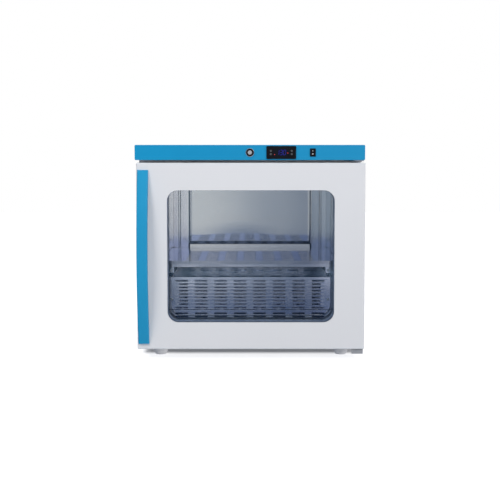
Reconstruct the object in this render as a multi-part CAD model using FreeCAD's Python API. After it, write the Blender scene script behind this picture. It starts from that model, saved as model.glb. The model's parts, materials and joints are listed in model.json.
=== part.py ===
import FreeCAD, Part
import math
import os

# Countertop blanket warmer with a window door, a slotted shelf and a slotted basket.
# Millimetres. +Z is up, the front faces -Y, +X is the viewer's right, where the door is hinged.
# The origin lies on the floor, under the middle of the whole object.

# Cabinet and cap
case_width = 590.0
case_depth = 490.0
case_height = 500.8
cap_overhang = 5.0
cap_height = 39.5
cap_corner = 3.0
foot_height = 28.0
case_sheet = 1.0
cap_sheet = 1.2
fascia_return = 12.0
seam = 0.4

# Door
door_overhang = 4.0
door_shift = 2.5
door_lift = 2.8
door_headroom = 7.0
door_depth = 46.0
door_sheet = 1.0
door_corner = 3.0
door_side_depth = 38.0
end_cap_band = 6.0
end_cap_plug = 10.0
window_stile = 79.8
window_rail = 71.4
window_corner = 29.0
window_return = 4.0
glass_thickness = 4.0
glass_gap = 14.0
glass_margin = 10.0
glass_corner = 14.0
spacer_width = 7.0
spacer_inset = 1.3
inner_wall = 2.0
gasket_depth = 12.0
gasket_width = 16.0
gasket_inset = 16.5

# Chamber, the heated room inside
side_wall = 60.0
floor_wall = 42.0
roof_wall = 46.0
rear_wall = 50.0
chamber_corner = 10.0
liner_sheet = 0.8
liner_flange = 8.0
case_flange = 32.0
case_hem = 18.0
breaker_thickness = 2.0

# Handle
handle_margin = 17.1
handle_width = 28.6
handle_reach = 38.0
handle_gap = 26.0
handle_end = 6.0
handle_pad = 34.0
handle_inset = 2.9
handle_drop = 1.6
handle_round = 2.0
handle_screw_from_end = 18.0
handle_screw_depth = 5.0
handle_screw_radius = 2.5

# Fasteners and other small turned parts are eight-sided here
small_sides = 8
round_sides = 24
screw_radius = 1.7
screw_head_radius = 4.5
screw_head_height = 2.4
screw_clearance = 0.05

# Slotted sheets
slot_length = 35.0
slot_height = 4.5
slot_pitch_x = 52.5
slot_pitch_z = 9.07
first_slot_row = 9.7
front_columns = 8
basket_rows = 9
riser_rows = 5
shelf_columns = 7
shelf_slot_rows = 14
shelf_slot = 9.0
shelf_slot_pitch = 18.14
shelf_slot_front = 14.0

# Plenum cover over the heater and the fan
plenum_height = 55.5
plenum_sheet = 1.0

# Basket
basket_setback = 65.0
basket_lift = 1.7
basket_height = 86.6
basket_sheet = 1.2
basket_front_side_gap = 6.0
basket_side_gap = 14.0
basket_back_gap = 24.0
basket_floor_rise = 3.8
basket_side_height = 67.0
basket_rear_height = 61.0
basket_screw_inset = 19.0
basket_screw_rise = 26.3
basket_tab = 30.0
basket_floor_slot = 80.0
basket_floor_slot_rows = 3
basket_rear_slot_rows = 2
runner_rise = 29.0
runner_length = 340.0
channel_height = 30.0
channel_sheet = 1.5
channel_lip = 5.0
channel_side_gap = 2.7
runner_gap = 0.3

# Shelf
shelf_setback = 80.0
shelf_above_basket = 42.5
shelf_side_gap = 6.0
shelf_back_gap = 0.5
shelf_sheet = 1.2
shelf_lip = 16.8
shelf_hem = 8.0
shelf_stop = 10.8
shelf_stop_side_gap = 6.0
shelf_rail_foot = 20.0
shelf_rail_sheet = 1.5
shelf_tab_width = 30.0
shelf_tab_height = 31.0
shelf_tab_screw = 7.0

# Fan and heater
fan_size = 119.0
fan_depth = 38.0
fan_bore = 56.5
fan_from_back = 180.0
fan_corner = 4.0
hub_radius = 26.0
stator_radius = 20.0
stator_height = 20.0
shaft_radius = 3.0
blade_count = 7
blade_thickness = 1.8
blade_pitch_deg = 32.0
blade_tip_gap = 1.0
strut_bite = 1.0
strut_height = 3.5
strut_width = 5.0
fan_screw_spacing = 104.8
grille_slots = 8
grille_pitch = 13.5
heater_radius = 4.0
heater_sides = 6
heater_bend_steps = 6
heater_rise = 10.0
heater_bend = 50.0
heater_front_gap = 90.0
heater_back_gap = 80.0
heater_terminal_gap = 44.0
heater_bracket_height = 18.0
heater_bracket_sheet = 1.5
heater_bracket_end = 18.0
heater_bracket_inset = 40.0

# Rear corner air ducts
duct_width = 51.0
duct_depth = 48.0
duct_sheet = 1.0
duct_corner = 5.0
duct_bead = 3.0
duct_bead_offset = 20.0
duct_outlets = 8
duct_outlet_height = 26.0
duct_outlet_width = 6.0

# Probe and safety thermostat
probe_radius = 3.0
probe_length = 45.0
probe_drop = 8.0
probe_across = 120.0
probe_back = 46.0
probe_clip = 1.5
thermostat_radius = 8.0
thermostat_ear = 12.0
thermostat_depth = 9.0
thermostat_across = 90.0
thermostat_rise = 30.0
thermostat_blade = 0.8
thermostat_blade_spread = 4.0
thermostat_blade_length = 6.0

# Door lock in the fascia
lock_flange = 11.0
lock_flange_height = 2.5
lock_barrel = 8.0
lock_depth = 22.0
lock_plug_radius = 5.5
lock_clearance = 0.05
lock_tail = 3.0
lock_tail_end = 1.2
keyway_width = 1.8
keyway_height = 7.0
keyway_depth = 6.0
lock_nut_across = 22.0
lock_nut_height = 4.0
cam_thickness = 2.5
cam_width = 12.0
cam_engagement = 8.0
cam_side_room = 2.5
cam_tip_room = 2.0

# Panel controller
controller_across = 81.5
bezel_width = 77.0
bezel_height = 33.5
bezel_thickness = 2.6
bezel_round = 1.5
bezel_edge = 0.6
controller_width = 70.4
controller_height = 28.4
controller_depth = 58.0
lens_width = 42.0
lens_height = 22.0
lens_thickness = 0.9
key_radius = 2.7
key_clearance = 0.2
key_proud = 0.7
key_length = 3.3
key_travel = 0.6
key_across = 27.2
key_rise = 4.2

# Rocker switch
switch_across = 163.7
switch_width = 15.0
switch_height = 21.0
switch_proud = 1.6
switch_body_width = 12.6
switch_body_height = 18.6
switch_depth = 18.0
switch_corner = 1.0
rocker_width = 10.2
rocker_height = 15.2
rocker_side_gap = 0.15
rocker_end_room = 0.6
rocker_dish = 0.8
rocker_front = 2.2
rocker_shoulder = 1.0
rocker_keel = 3.2
rocker_keel_half = 3.0
rocker_tilt_deg = 8.0
rocker_pin_radius = 1.2
rocker_pin_depth = 2.2
rocker_pin_length = 0.8
rocker_pin_clearance = 0.05

# Mains inlet on the back of the cap
inlet_side_inset = 115.0
inlet_flange_width = 50.0
inlet_flange_height = 26.0
inlet_proud = 3.0
inlet_body_width = 28.0
inlet_body_height = 20.0
inlet_depth = 22.0
inlet_cavity_width = 24.5
inlet_cavity_height = 16.8
inlet_cavity_depth = 17.0
inlet_pin_width = 2.0
inlet_pin_height = 4.0
inlet_pin_length = 13.0
inlet_pin_spread = 7.0
inlet_pin_drop = 1.0
inlet_earth_rise = 4.0
inlet_screw_spacing = 40.0

# Hinges
pin_radius = 4.0
pin_clearance = 0.05
pin_inset_x = 16.0
pin_inset_y = 22.0
pin_engagement = 14.0
bush_radius = 7.0
bush_length = 16.0
bush_flange_radius = 9.0
bush_clearance = 0.1
hinge_plate = 3.0
hinge_plate_left = 16.0
hinge_plate_right = 14.0
hinge_plate_front = 12.0
hinge_foot_length = 70.0
hinge_lip = 12.0
hinge_screw_step = 14.0
pin_head_radius = 6.0
pin_head_height = 3.0

# Feet
foot_radius = 19.0
foot_sole_radius = 15.0
foot_taper = 9.0
foot_side_gap = 2.5
foot_front_inset = 35.0
foot_rear_inset = 45.0
stud_radius = 4.0
stud_length = 24.0
insert_radius = 6.5
foot_travel = 12.0

# Access cover on the back
access_width = 200.0
access_height = 100.0
access_rise = 82.0
access_overlap = 10.0
access_screw_inset = 8.0

# Fits
seat_gap = 0.3
slip_gap = 0.5

# Levels and planes that follow from the sizes above
total_depth = (handle_reach + door_depth + gasket_depth + case_depth + inlet_proud
               + screw_head_height)
door_front = -total_depth / 2 + handle_reach
door_back = door_front + door_depth
case_front = door_back + gasket_depth
case_back = case_front + case_depth
case_half = case_width / 2
case_bottom = foot_height
case_top = case_bottom + case_height
cap_left = -case_half - cap_overhang
cap_right = case_half + cap_overhang
cap_bottom = case_top
cap_top = cap_bottom + cap_height
cap_middle = (cap_bottom + cap_top) / 2
door_half = case_half + door_overhang
door_left = door_shift - door_half
door_right = door_shift + door_half
door_bottom = case_bottom + door_lift
door_top = case_top - door_headroom
door_middle = (door_bottom + door_top) / 2
window_half_width = door_half - window_stile
window_half_height = (door_top - door_bottom) / 2 - window_rail
chamber_half = case_half - side_wall
chamber_floor = case_bottom + floor_wall
chamber_roof = case_top - roof_wall
chamber_back = case_back - rear_wall
plenum_top = chamber_floor + plenum_height
basket_front_plane = door_front + basket_setback
basket_bottom = plenum_top + basket_lift
basket_top = basket_bottom + basket_height
basket_floor = basket_bottom + basket_floor_rise
basket_half = chamber_half - basket_side_gap
basket_back = chamber_back - duct_depth - basket_back_gap
basket_screw_x = chamber_half - basket_front_side_gap - basket_screw_inset
basket_screw_z = basket_bottom + basket_screw_rise
runner_level = basket_bottom + runner_rise
channel_mouth = basket_half + channel_side_gap
duct_front = chamber_back - duct_depth
shelf_front_plane = door_front + shelf_setback
shelf_back = duct_front - duct_bead - shelf_back_gap
shelf_level = basket_top + shelf_above_basket
shelf_half = chamber_half - shelf_side_gap
shelf_rail_top = shelf_level - shelf_sheet - seat_gap
shelf_tab_plane = shelf_front_plane + shelf_sheet + slip_gap
shelf_tab_low = shelf_rail_top - shelf_tab_height
pin_x = door_right - pin_inset_x
pin_y = door_front + pin_inset_y
foot_right = pin_x - hinge_plate_left - foot_side_gap - foot_radius
foot_left = 2 * door_shift - foot_right
inlet_across = inlet_side_inset - case_width / 2
lock_z = cap_middle
controller_x = controller_across
switch_x = switch_across
whole_middle = (min(cap_left, door_left) + max(cap_right, door_right)) / 2
access_level = case_bottom + access_rise
fan_y = chamber_back - fan_from_back
fan_top = plenum_top - plenum_sheet - seat_gap
fan_bottom = fan_top - fan_depth
heater_level = chamber_floor + heater_rise
heater_front = basket_front_plane + heater_front_gap
heater_back = chamber_back - heater_back_gap
thermostat_level = chamber_floor + thermostat_rise

X = FreeCAD.Vector(1, 0, 0)
Y = FreeCAD.Vector(0, 1, 0)
Z = FreeCAD.Vector(0, 0, 1)


def point(x, y, z):
    return FreeCAD.Vector(x, y, z)


def block(x0, x1, y0, y1, z0, z1):
    return Part.makeBox(x1 - x0, y1 - y0, z1 - z0, point(x0, y0, z0))


def rod(start, axis, radius, length):
    return Part.makeCylinder(radius, length, start, axis)


def tube(start, axis, outer, inner, length):
    return rod(start, axis, outer, length).cut(rod(start, axis, inner, length))


def edges_along(shape, axis):
    found = []
    for edge in shape.Edges:
        if isinstance(edge.Curve, Part.Line) and abs(edge.Curve.Direction.dot(axis)) > 0.999:
            found.append(edge)
    return found


def front_rect(x0, x1, z0, z1, radius, y0, y1):
    # A rounded rectangle seen from the front, from plane y0 to plane y1
    plate = block(x0, x1, y0, y1, z0, z1)
    return plate.makeFillet(radius, edges_along(plate, Y))


def prism(points, axis, length):
    wire = Part.makePolygon(points + [points[0]])
    return Part.Face(wire).extrude(axis * length)


def fused(shapes):
    return shapes[0].multiFuse(shapes[1:]).removeSplitter()


def cut_all(shape, cutters):
    return shape.cut(Part.makeCompound(cutters))


def slot_cutter(length, height, depth):
    # A slot lying along X with pointed ends, centred on the origin, going along Y
    rise = height / 2
    half = length / 2
    points = [point(-half, 0, 0), point(rise - half, 0, -rise), point(half - rise, 0, -rise),
              point(half, 0, 0), point(half - rise, 0, rise), point(rise - half, 0, rise)]
    return prism(points, Y, depth)


def ring_points(start, axis, radius, sides):
    turn = FreeCAD.Rotation(Z, axis)
    corners = []
    for index in range(sides):
        angle = math.radians(360 * (index + 0.5) / sides)
        arm = turn.multVec(point(radius * math.cos(angle), radius * math.sin(angle), 0))
        corners.append(start + arm)
    return corners


def faceted_rod(start, axis, radius, length, sides=small_sides):
    # A prism round an axis, whose corners lie on the radius
    return prism(ring_points(start, axis, radius, sides), axis, length)


def frustum(low, high):
    # A tapered prism with flat sides between two rings of points
    rings = [low, high]
    for index in range(len(low)):
        rings.append([low[index - 1], low[index], high[index], high[index - 1]])
    faces = [Part.Face(Part.makePolygon(ring + ring[:1])) for ring in rings]
    return Part.makeSolid(Part.makeShell(faces))


def faceted_bore(start, axis, radius, length):
    # The same for a large bore, whose flats lie on the radius
    return faceted_rod(start, axis, radius / math.cos(math.pi / round_sides), length, round_sides)


def copies(shape, places):
    placed = []
    for place in places:
        copy = shape.copy()
        copy.translate(place)
        placed.append(copy)
    return placed


def centred_places(count, pitch):
    return [(index - (count - 1) / 2) * pitch for index in range(count)]


def front_slots(top, rows, plane, depth):
    # The slot field that the basket front and the plenum riser share
    cutter = slot_cutter(slot_length, slot_height, depth)
    places = []
    for row in range(rows):
        for x in centred_places(front_columns, slot_pitch_x):
            places.append(point(x, plane, top - first_slot_row - row * slot_pitch_z))
    return copies(cutter, places)


def pan_screw(start, axis, radius, length):
    # Screw with its head's underside at start, shank running along axis
    head = faceted_rod(start, axis * -1, screw_head_radius, screw_head_height)
    return head.fuse(faceted_rod(start, axis, radius, length)).removeSplitter()


def screw_hole(x, y, z, axis, depth, radius=screw_radius):
    return faceted_rod(point(x, y, z), axis, radius + screw_clearance, depth)


# Cabinet shells


def outer_wrapper():
    back = case_back - case_sheet
    shell = block(-case_half, case_half, case_front, back, case_bottom, case_top)
    inner = case_half - case_sheet
    room = block(-inner, inner, case_front + case_sheet, back, case_bottom + case_sheet,
                 case_top - case_sheet)
    mouth = case_half - case_flange
    front = block(-mouth, mouth, case_front, case_front + case_sheet, case_bottom, case_top - case_flange)
    sole = case_half - case_hem
    under = block(-sole, sole, case_front, back, case_bottom, case_bottom + case_sheet)
    return cut_all(shell, [room, front, under])


def base_pan():
    side = case_half - case_sheet
    low = case_bottom + case_sheet
    floor = block(-side, side, case_front + case_sheet, case_back - case_sheet, low, low + cap_sheet)
    lip = case_half - case_flange - seat_gap
    flange = block(-lip, lip, case_front, case_front + cap_sheet, low, case_bottom + case_flange)
    pan = floor.fuse(flange).removeSplitter()
    holes = [faceted_rod(point(x, y, low), Z, stud_radius + slip_gap, cap_sheet)
             for x, y in front_foot_places()]
    return cut_all(pan, holes)


def rear_panel():
    plate = block(-case_half, case_half, case_back - case_sheet, case_back, case_bottom, case_top)
    half = access_width / 2 - access_overlap
    low = access_level - access_height / 2 + access_overlap
    high = access_level + access_height / 2 - access_overlap
    opening = block(-half, half, case_back - case_sheet, case_back, low, high)
    return cut_all(plate, [opening] + access_screw_holes())


def rear_access_cover():
    low = access_level - access_height / 2
    high = access_level + access_height / 2
    half = access_width / 2
    cover = front_rect(-half, half, low, high, cap_corner, case_back, case_back + case_sheet)
    return cut_all(cover, access_screw_holes())


def access_screw_places():
    x = access_width / 2 - access_screw_inset
    z = access_height / 2 - access_screw_inset
    return [(sx * x, access_level + sz * z) for sx in (-1, 1) for sz in (-1, 1)]


def access_screw_holes():
    return [screw_hole(x, case_back - case_sheet, z, Y, 2 * case_sheet) for x, z in access_screw_places()]


def chamber_block(grow, y0, y1):
    radius = chamber_corner + grow
    return front_rect(-chamber_half - grow, chamber_half + grow, chamber_floor - grow,
                      chamber_roof + grow, radius, y0, y1)


def liner():
    front = case_front + breaker_thickness
    shell = chamber_block(liner_sheet, front, chamber_back + liner_sheet)
    flange = chamber_block(liner_flange, front, front + liner_sheet)
    return shell.fuse(flange).cut(chamber_block(0, front, chamber_back)).removeSplitter()


def breaker_frame():
    mouth = case_half - case_flange - seat_gap
    low = case_bottom + case_flange + seat_gap
    high = case_top - case_flange - seat_gap
    back = case_front + breaker_thickness
    ring = block(-mouth, mouth, case_front, back, low, high)
    return ring.cut(chamber_block(0, case_front, back))


def insulation():
    side = case_half - case_sheet - seat_gap
    low = case_bottom + case_sheet + cap_sheet + seat_gap
    front = case_front + breaker_thickness + liner_sheet + seat_gap
    back = case_back - case_sheet - seat_gap
    wool = block(-side, side, front, back, low, case_top - case_sheet - seat_gap)
    bores = [faceted_rod(point(x, y, low), Z, insert_radius + seat_gap, stud_length + seat_gap)
             for x, y in front_foot_places()]
    room = chamber_block(liner_sheet + seat_gap, front, chamber_back + liner_sheet + seat_gap)
    return cut_all(wool, [room] + bores)


# Cap


def cap_shell(y0, y1):
    # Folded sheet, open below and at both ends of its run, rounded along its top edges
    outer = block(cap_left, cap_right, y0, y1, cap_bottom, cap_top)
    tops = [edge for edge in edges_along(outer, Y) if edge.CenterOfMass.z > cap_middle]
    outer = outer.makeFillet(cap_corner, tops)
    inner = block(cap_left + cap_sheet, cap_right - cap_sheet, y0, y1, cap_bottom, cap_top - cap_sheet)
    tops = [edge for edge in edges_along(inner, Y) if edge.CenterOfMass.z > cap_middle]
    return outer.cut(inner.makeFillet(cap_corner - cap_sheet, tops))


def top_cover():
    front = door_front + fascia_return + seam
    shell = cap_shell(front, case_back)
    back = block(cap_left + cap_sheet, cap_right - cap_sheet, case_back - cap_sheet, case_back,
                 cap_bottom, cap_top - cap_corner)
    ledge = block(cap_left + cap_corner, cap_right - cap_corner, case_back - cap_sheet, case_back,
                  cap_top - cap_corner, cap_top)
    cover = fused([shell, back, ledge])
    half_w = inlet_body_width / 2 + seat_gap
    half_h = inlet_body_height / 2 + seat_gap
    hole = block(inlet_across - half_w, inlet_across + half_w, case_back - cap_sheet, case_back,
                 cap_middle - half_h, cap_middle + half_h)
    return cover.cut(hole)


def control_fascia():
    back = door_front + fascia_return
    outer = block(cap_left, cap_right, door_front, back, cap_bottom, cap_top)
    rim = [edge for edge in edges_along(outer, Y)]
    outer = outer.makeFillet(cap_corner, rim)
    face = [edge for edge in outer.Edges if edge.BoundBox.YMax < door_front + 0.01]
    outer = outer.makeChamfer(cap_sheet / 2, face)
    room = front_rect(cap_left + cap_sheet, cap_right - cap_sheet, cap_bottom + cap_sheet,
                      cap_top - cap_sheet, cap_corner - cap_sheet, door_front + cap_sheet, back)
    half_w = controller_width / 2 + seat_gap
    half_h = controller_height / 2 + seat_gap
    window = block(controller_x - half_w, controller_x + half_w, door_front, back,
                   cap_middle - half_h, cap_middle + half_h)
    half_w = switch_body_width / 2 + seat_gap
    half_h = switch_body_height / 2 + seat_gap
    switch_hole = block(switch_x - half_w, switch_x + half_w, door_front, back,
                        cap_middle - half_h, cap_middle + half_h)
    lock_hole = faceted_rod(point(0, door_front, lock_z), Y, lock_barrel + seat_gap, fascia_return)
    return cut_all(outer, [room, window, switch_hole, lock_hole])


def control_tray():
    front = door_front + fascia_return + seam
    back = case_back - cap_sheet - seat_gap
    left = cap_left + cap_sheet + seat_gap
    right = cap_right - cap_sheet - seat_gap
    floor = block(left, right, front, back, cap_bottom, cap_bottom + cap_sheet)
    wall = cap_bottom + fascia_return
    sides = [block(left, left + cap_sheet, front, back, cap_bottom, wall),
             block(right - cap_sheet, right, front, back, cap_bottom, wall)]
    tray = fused([floor] + sides)
    return tray.cut(cam_slot(cap_bottom, cap_bottom + cap_sheet))


def cam_length():
    return lock_z - door_top + cam_engagement


def cam_plane():
    return door_front + lock_depth + seat_gap


def cam_slot(z0, z1):
    # Room for the swinging cam between two levels, as wide as its sweep at the upper one
    rise = lock_z - z1
    sweep = math.sqrt(max(cam_length() ** 2 - rise ** 2, 1.0))
    left = -sweep - cam_width / 2
    right = cam_width / 2 + cam_side_room
    return block(left, right, cam_plane() - cam_side_room, cam_plane() + cam_thickness + cam_side_room,
                 z0, z1)


# Lock, controller and switch


def lock_body():
    flange = rod(point(0, door_front, lock_z), Y * -1, lock_flange, lock_flange_height)
    barrel = faceted_rod(point(0, door_front, lock_z), Y, lock_barrel, lock_depth)
    body = flange.fuse(barrel).removeSplitter()
    bore = rod(point(0, door_front - lock_flange_height, lock_z), Y,
               lock_plug_radius + lock_clearance, lock_depth + lock_flange_height)
    return body.cut(bore)


def lock_nut():
    start = door_front + cap_sheet
    radius = lock_nut_across / math.sqrt(3)
    corners = []
    for index in range(6):
        angle = math.radians(60 * index + 30)
        corners.append(point(radius * math.cos(angle), start, lock_z + radius * math.sin(angle)))
    nut = prism(corners, Y, lock_nut_height)
    bore = faceted_rod(point(0, start, lock_z), Y, lock_barrel + lock_clearance, lock_nut_height)
    return nut.cut(bore)


def lock_plug():
    face = door_front - lock_flange_height
    plug = rod(point(0, face, lock_z), Y, lock_plug_radius, lock_depth + lock_flange_height)
    tail_length = seat_gap + cam_thickness + lock_tail_end
    plug = plug.fuse(lock_tail_block(0, door_front + lock_depth, tail_length)).removeSplitter()
    keyway = block(-keyway_width / 2, keyway_width / 2, face, face + keyway_depth,
                   lock_z - keyway_height / 2, lock_z + keyway_height / 2)
    return plug.cut(keyway)


def lock_tail_block(gap, start, length):
    # The square tail that turns the cam, or with a gap the hole for it
    half = lock_tail + gap
    return block(-half, half, start, start + length, lock_z - half, lock_z + half)


def lock_cam():
    # At rest the cam lies level, clear of the door, pointing to the handle side
    half = cam_width / 2
    bar = block(-cam_length(), half, cam_plane(), cam_plane() + cam_thickness, lock_z - half, lock_z + half)
    bar = bar.makeChamfer(half / 2, edges_along(bar, Y))
    return bar.cut(lock_tail_block(lock_clearance, cam_plane(), cam_thickness))


def key_places():
    return {
        "key_set": (controller_x - key_across, cap_middle + key_rise),
        "key_down": (controller_x - key_across, cap_middle - key_rise),
        "key_up": (controller_x + key_across, cap_middle + key_rise),
        "key_standby": (controller_x + key_across, cap_middle - key_rise),
    }


def controller_housing():
    face = door_front - bezel_thickness
    bezel = front_rect(controller_x - bezel_width / 2, controller_x + bezel_width / 2,
                       cap_middle - bezel_height / 2, cap_middle + bezel_height / 2,
                       bezel_round, face, door_front)
    rim = [edge for edge in bezel.Edges if edge.BoundBox.YMax < face + 0.01]
    bezel = bezel.makeChamfer(bezel_edge, rim)
    can = block(controller_x - controller_width / 2, controller_x + controller_width / 2,
                door_front, door_front + controller_depth,
                cap_middle - controller_height / 2, cap_middle + controller_height / 2)
    body = bezel.fuse(can).removeSplitter()
    pocket = display_block(lens_thickness, 0)
    depth = key_length - key_proud + key_travel + seat_gap
    holes = [faceted_rod(point(x, face, z), Y, key_radius + key_clearance, depth)
             for x, z in key_places().values()]
    return cut_all(body, [pocket] + holes)


def display_block(thickness, gap):
    face = door_front - bezel_thickness
    half_w = lens_width / 2 - gap
    half_h = lens_height / 2 - gap
    return front_rect(controller_x - half_w, controller_x + half_w, cap_middle - half_h,
                      cap_middle + half_h, bezel_round, face, face + thickness)


def display_lens():
    return display_block(lens_thickness, seat_gap / 2)


def controller_key(x, z):
    return faceted_rod(point(x, door_front - bezel_thickness - key_proud, z), Y, key_radius, key_length)


def switch_housing():
    face = door_front - switch_proud
    bezel = front_rect(switch_x - switch_width / 2, switch_x + switch_width / 2,
                       cap_middle - switch_height / 2, cap_middle + switch_height / 2,
                       switch_corner, face, door_front)
    can = block(switch_x - switch_body_width / 2, switch_x + switch_body_width / 2,
                door_front, door_front + switch_depth,
                cap_middle - switch_body_height / 2, cap_middle + switch_body_height / 2)
    body = bezel.fuse(can).removeSplitter()
    half_w = rocker_width / 2 + rocker_side_gap
    half_h = rocker_height / 2 + rocker_end_room
    room = block(switch_x - half_w, switch_x + half_w, face, face + switch_depth / 2,
                 cap_middle - half_h, cap_middle + half_h)
    reach = half_w + rocker_pin_length
    socket = rod(point(switch_x - reach, face + rocker_pin_depth, cap_middle), X,
                 rocker_pin_radius + rocker_pin_clearance, 2 * reach)
    return cut_all(body, [room, socket])


def power_rocker():
    # Seen from the side: a shallow V in front, a keel behind the pivot pin
    axis_y = door_front - switch_proud + rocker_pin_depth
    half = rocker_height / 2
    profile = [(half, -rocker_front), (0.0, rocker_dish - rocker_front), (-half, -rocker_front),
               (-half, rocker_shoulder), (-rocker_keel_half, rocker_keel),
               (rocker_keel_half, rocker_keel), (half, rocker_shoulder)]
    left = switch_x - rocker_width / 2
    corners = [point(left, axis_y + y, cap_middle + z) for z, y in profile]
    body = prism(corners, X, rocker_width)
    reach = rocker_width / 2 + rocker_side_gap + rocker_pin_length - rocker_pin_clearance
    pin = rod(point(switch_x - reach, axis_y, cap_middle), X, rocker_pin_radius, 2 * reach)
    rocker = body.fuse(pin).removeSplitter()
    rocker.rotate(point(switch_x, axis_y, cap_middle), X, -rocker_tilt_deg)
    return rocker


# Mains inlet


def mains_inlet():
    flange = front_rect(inlet_across - inlet_flange_width / 2, inlet_across + inlet_flange_width / 2,
                        cap_middle - inlet_flange_height / 2, cap_middle + inlet_flange_height / 2,
                        cap_corner, case_back, case_back + inlet_proud)
    can = block(inlet_across - inlet_body_width / 2, inlet_across + inlet_body_width / 2,
                case_back - inlet_depth, case_back,
                cap_middle - inlet_body_height / 2, cap_middle + inlet_body_height / 2)
    body = flange.fuse(can).removeSplitter()
    mouth = case_back + inlet_proud
    cavity = front_rect(inlet_across - inlet_cavity_width / 2, inlet_across + inlet_cavity_width / 2,
                        cap_middle - inlet_cavity_height / 2, cap_middle + inlet_cavity_height / 2,
                        cap_corner, mouth - inlet_cavity_depth, mouth)
    holes = [screw_hole(x, case_back, cap_middle, Y, inlet_proud) for x in inlet_screw_places()]
    return cut_all(body, [cavity] + holes)


def inlet_screw_places():
    return [inlet_across - inlet_screw_spacing / 2, inlet_across + inlet_screw_spacing / 2]


def inlet_pins():
    floor = case_back + inlet_proud - inlet_cavity_depth
    pins = []
    for dx, dz in ((-inlet_pin_spread, 0.0), (0.0, inlet_earth_rise), (inlet_pin_spread, 0.0)):
        x = inlet_across + dx
        z = cap_middle - inlet_pin_drop + dz
        pins.append(block(x - inlet_pin_width / 2, x + inlet_pin_width / 2, floor, floor + inlet_pin_length,
                          z - inlet_pin_height / 2, z + inlet_pin_height / 2))
    return Part.makeCompound(pins)


# Door


def door_skin():
    low = door_bottom + end_cap_band
    high = door_top - end_cap_band
    back = door_front + door_side_depth
    pan = block(door_left, door_right, door_front, back, low, high)
    fronts = [edge for edge in edges_along(pan, Z) if edge.CenterOfMass.y < door_front + 1]
    pan = pan.makeFillet(door_corner, fronts)
    room = block(door_left + door_sheet, door_right - door_sheet, door_front + door_sheet, back, low, high)
    fronts = [edge for edge in edges_along(room, Z) if edge.CenterOfMass.y < door_front + 2]
    pan = pan.cut(room.makeFillet(door_corner - door_sheet, fronts))
    lip = window_prism(door_sheet, door_front, door_front + window_return)
    holes = [screw_hole(x, door_front, z, Y, door_sheet, handle_screw_radius)
             for x, z in handle_screw_places()]
    opening = window_prism(0, door_front, door_front + window_return)
    return cut_all(pan.fuse(lip).removeSplitter(), [opening] + holes)


def window_prism(grow, y0, y1):
    half_w = window_half_width + grow
    half_h = window_half_height + grow
    return front_rect(door_shift - half_w, door_shift + half_w, door_middle - half_h,
                      door_middle + half_h, window_corner + grow, y0, y1)


def glass_prism(shrink, y0, y1):
    half_w = window_half_width + glass_margin - shrink
    half_h = window_half_height + glass_margin - shrink
    return front_rect(door_shift - half_w, door_shift + half_w, door_middle - half_h,
                      door_middle + half_h, max(glass_corner - shrink, 1.0), y0, y1)


def glass_planes():
    outer = door_front + window_return + seat_gap
    spacer = outer + glass_thickness
    inner = spacer + glass_gap
    return outer, spacer, inner, inner + glass_thickness


def glass_outer():
    outer, spacer, inner, end = glass_planes()
    return glass_prism(0, outer, spacer)


def glass_inner():
    outer, spacer, inner, end = glass_planes()
    return glass_prism(0, inner, end)


def glass_spacer():
    outer, spacer, inner, end = glass_planes()
    ring = glass_prism(spacer_inset, spacer, inner)
    return ring.cut(glass_prism(spacer_inset + spacer_width, spacer, inner))


def door_foam():
    left = door_left + door_sheet + seat_gap
    right = door_right - door_sheet - seat_gap
    low = door_bottom + end_cap_band + end_cap_plug + seat_gap
    high = door_top - end_cap_band - end_cap_plug - seat_gap
    front = door_front + door_sheet + seat_gap
    back = door_back - inner_wall - seat_gap
    wool = block(left, right, front, back, low, high)
    fronts = [edge for edge in edges_along(wool, Z) if edge.CenterOfMass.y < front + 1]
    wool = wool.makeFillet(door_corner - door_sheet, fronts)
    shoulders = []
    for x0, x1 in ((left, left + inner_wall), (right - inner_wall, right)):
        shoulders.append(block(x0, x1, door_front + door_side_depth, back, low, high))
    end = glass_planes()[3] + seat_gap
    room = [glass_prism(-seat_gap, front, end), window_prism(inner_wall + seat_gap, end, back)]
    return cut_all(wool, room + shoulders + handle_screw_recesses())


def door_inner_frame():
    low = door_bottom + end_cap_band + seat_gap
    high = door_top - end_cap_band - seat_gap
    plate = block(door_left, door_right, door_back - inner_wall, door_back, low, high)
    plate = plate.makeFillet(inner_wall * 0.8, [edge for edge in edges_along(plate, Z)
                                                if edge.CenterOfMass.y > door_back - 0.5])
    sides = []
    for x0, x1 in ((door_left, door_left + inner_wall), (door_right - inner_wall, door_right)):
        sides.append(block(x0, x1, door_front + door_side_depth + seam, door_back - inner_wall, low, high))
    end = glass_planes()[3]
    throat = window_prism(inner_wall, end + seat_gap, door_back - inner_wall)
    frame = fused([plate, throat] + sides)
    return frame.cut(window_prism(0, end, door_back))


def end_cap(band0, band1, plug0, plug1, rounded_level):
    # One plastic end of the door: a visible band, and a plug inside the skin
    band = block(door_left, door_right, door_front, door_back, band0, band1)
    band = band.makeFillet(door_corner, edges_along(band, Z))
    rim = [edge for edge in band.Edges
           if abs(edge.BoundBox.ZMax - rounded_level) < 0.01 and abs(edge.BoundBox.ZMin - rounded_level) < 0.01]
    band = band.makeFillet(door_corner * 0.8, rim)
    inset = door_sheet + seat_gap + inner_wall
    front = door_front + door_sheet + seat_gap
    plug = block(door_left + inset, door_right - inset, front, door_back - inner_wall - seat_gap,
                 plug0, plug1)
    cap = band.fuse(plug).removeSplitter()
    return cut_all(cap, handle_screw_recesses())


def handle_screw_recesses():
    # Room for the heads of the handle's screws behind the door's front sheet
    front = door_front + door_sheet + seat_gap
    return [faceted_rod(point(x, front, z), Y, screw_head_radius + seat_gap, screw_head_height + seat_gap)
            for x, z in handle_screw_places()]


def bush_room(z0, z1):
    return rod(point(pin_x, pin_y, z0), Z, bush_radius + bush_clearance, z1 - z0)


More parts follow.
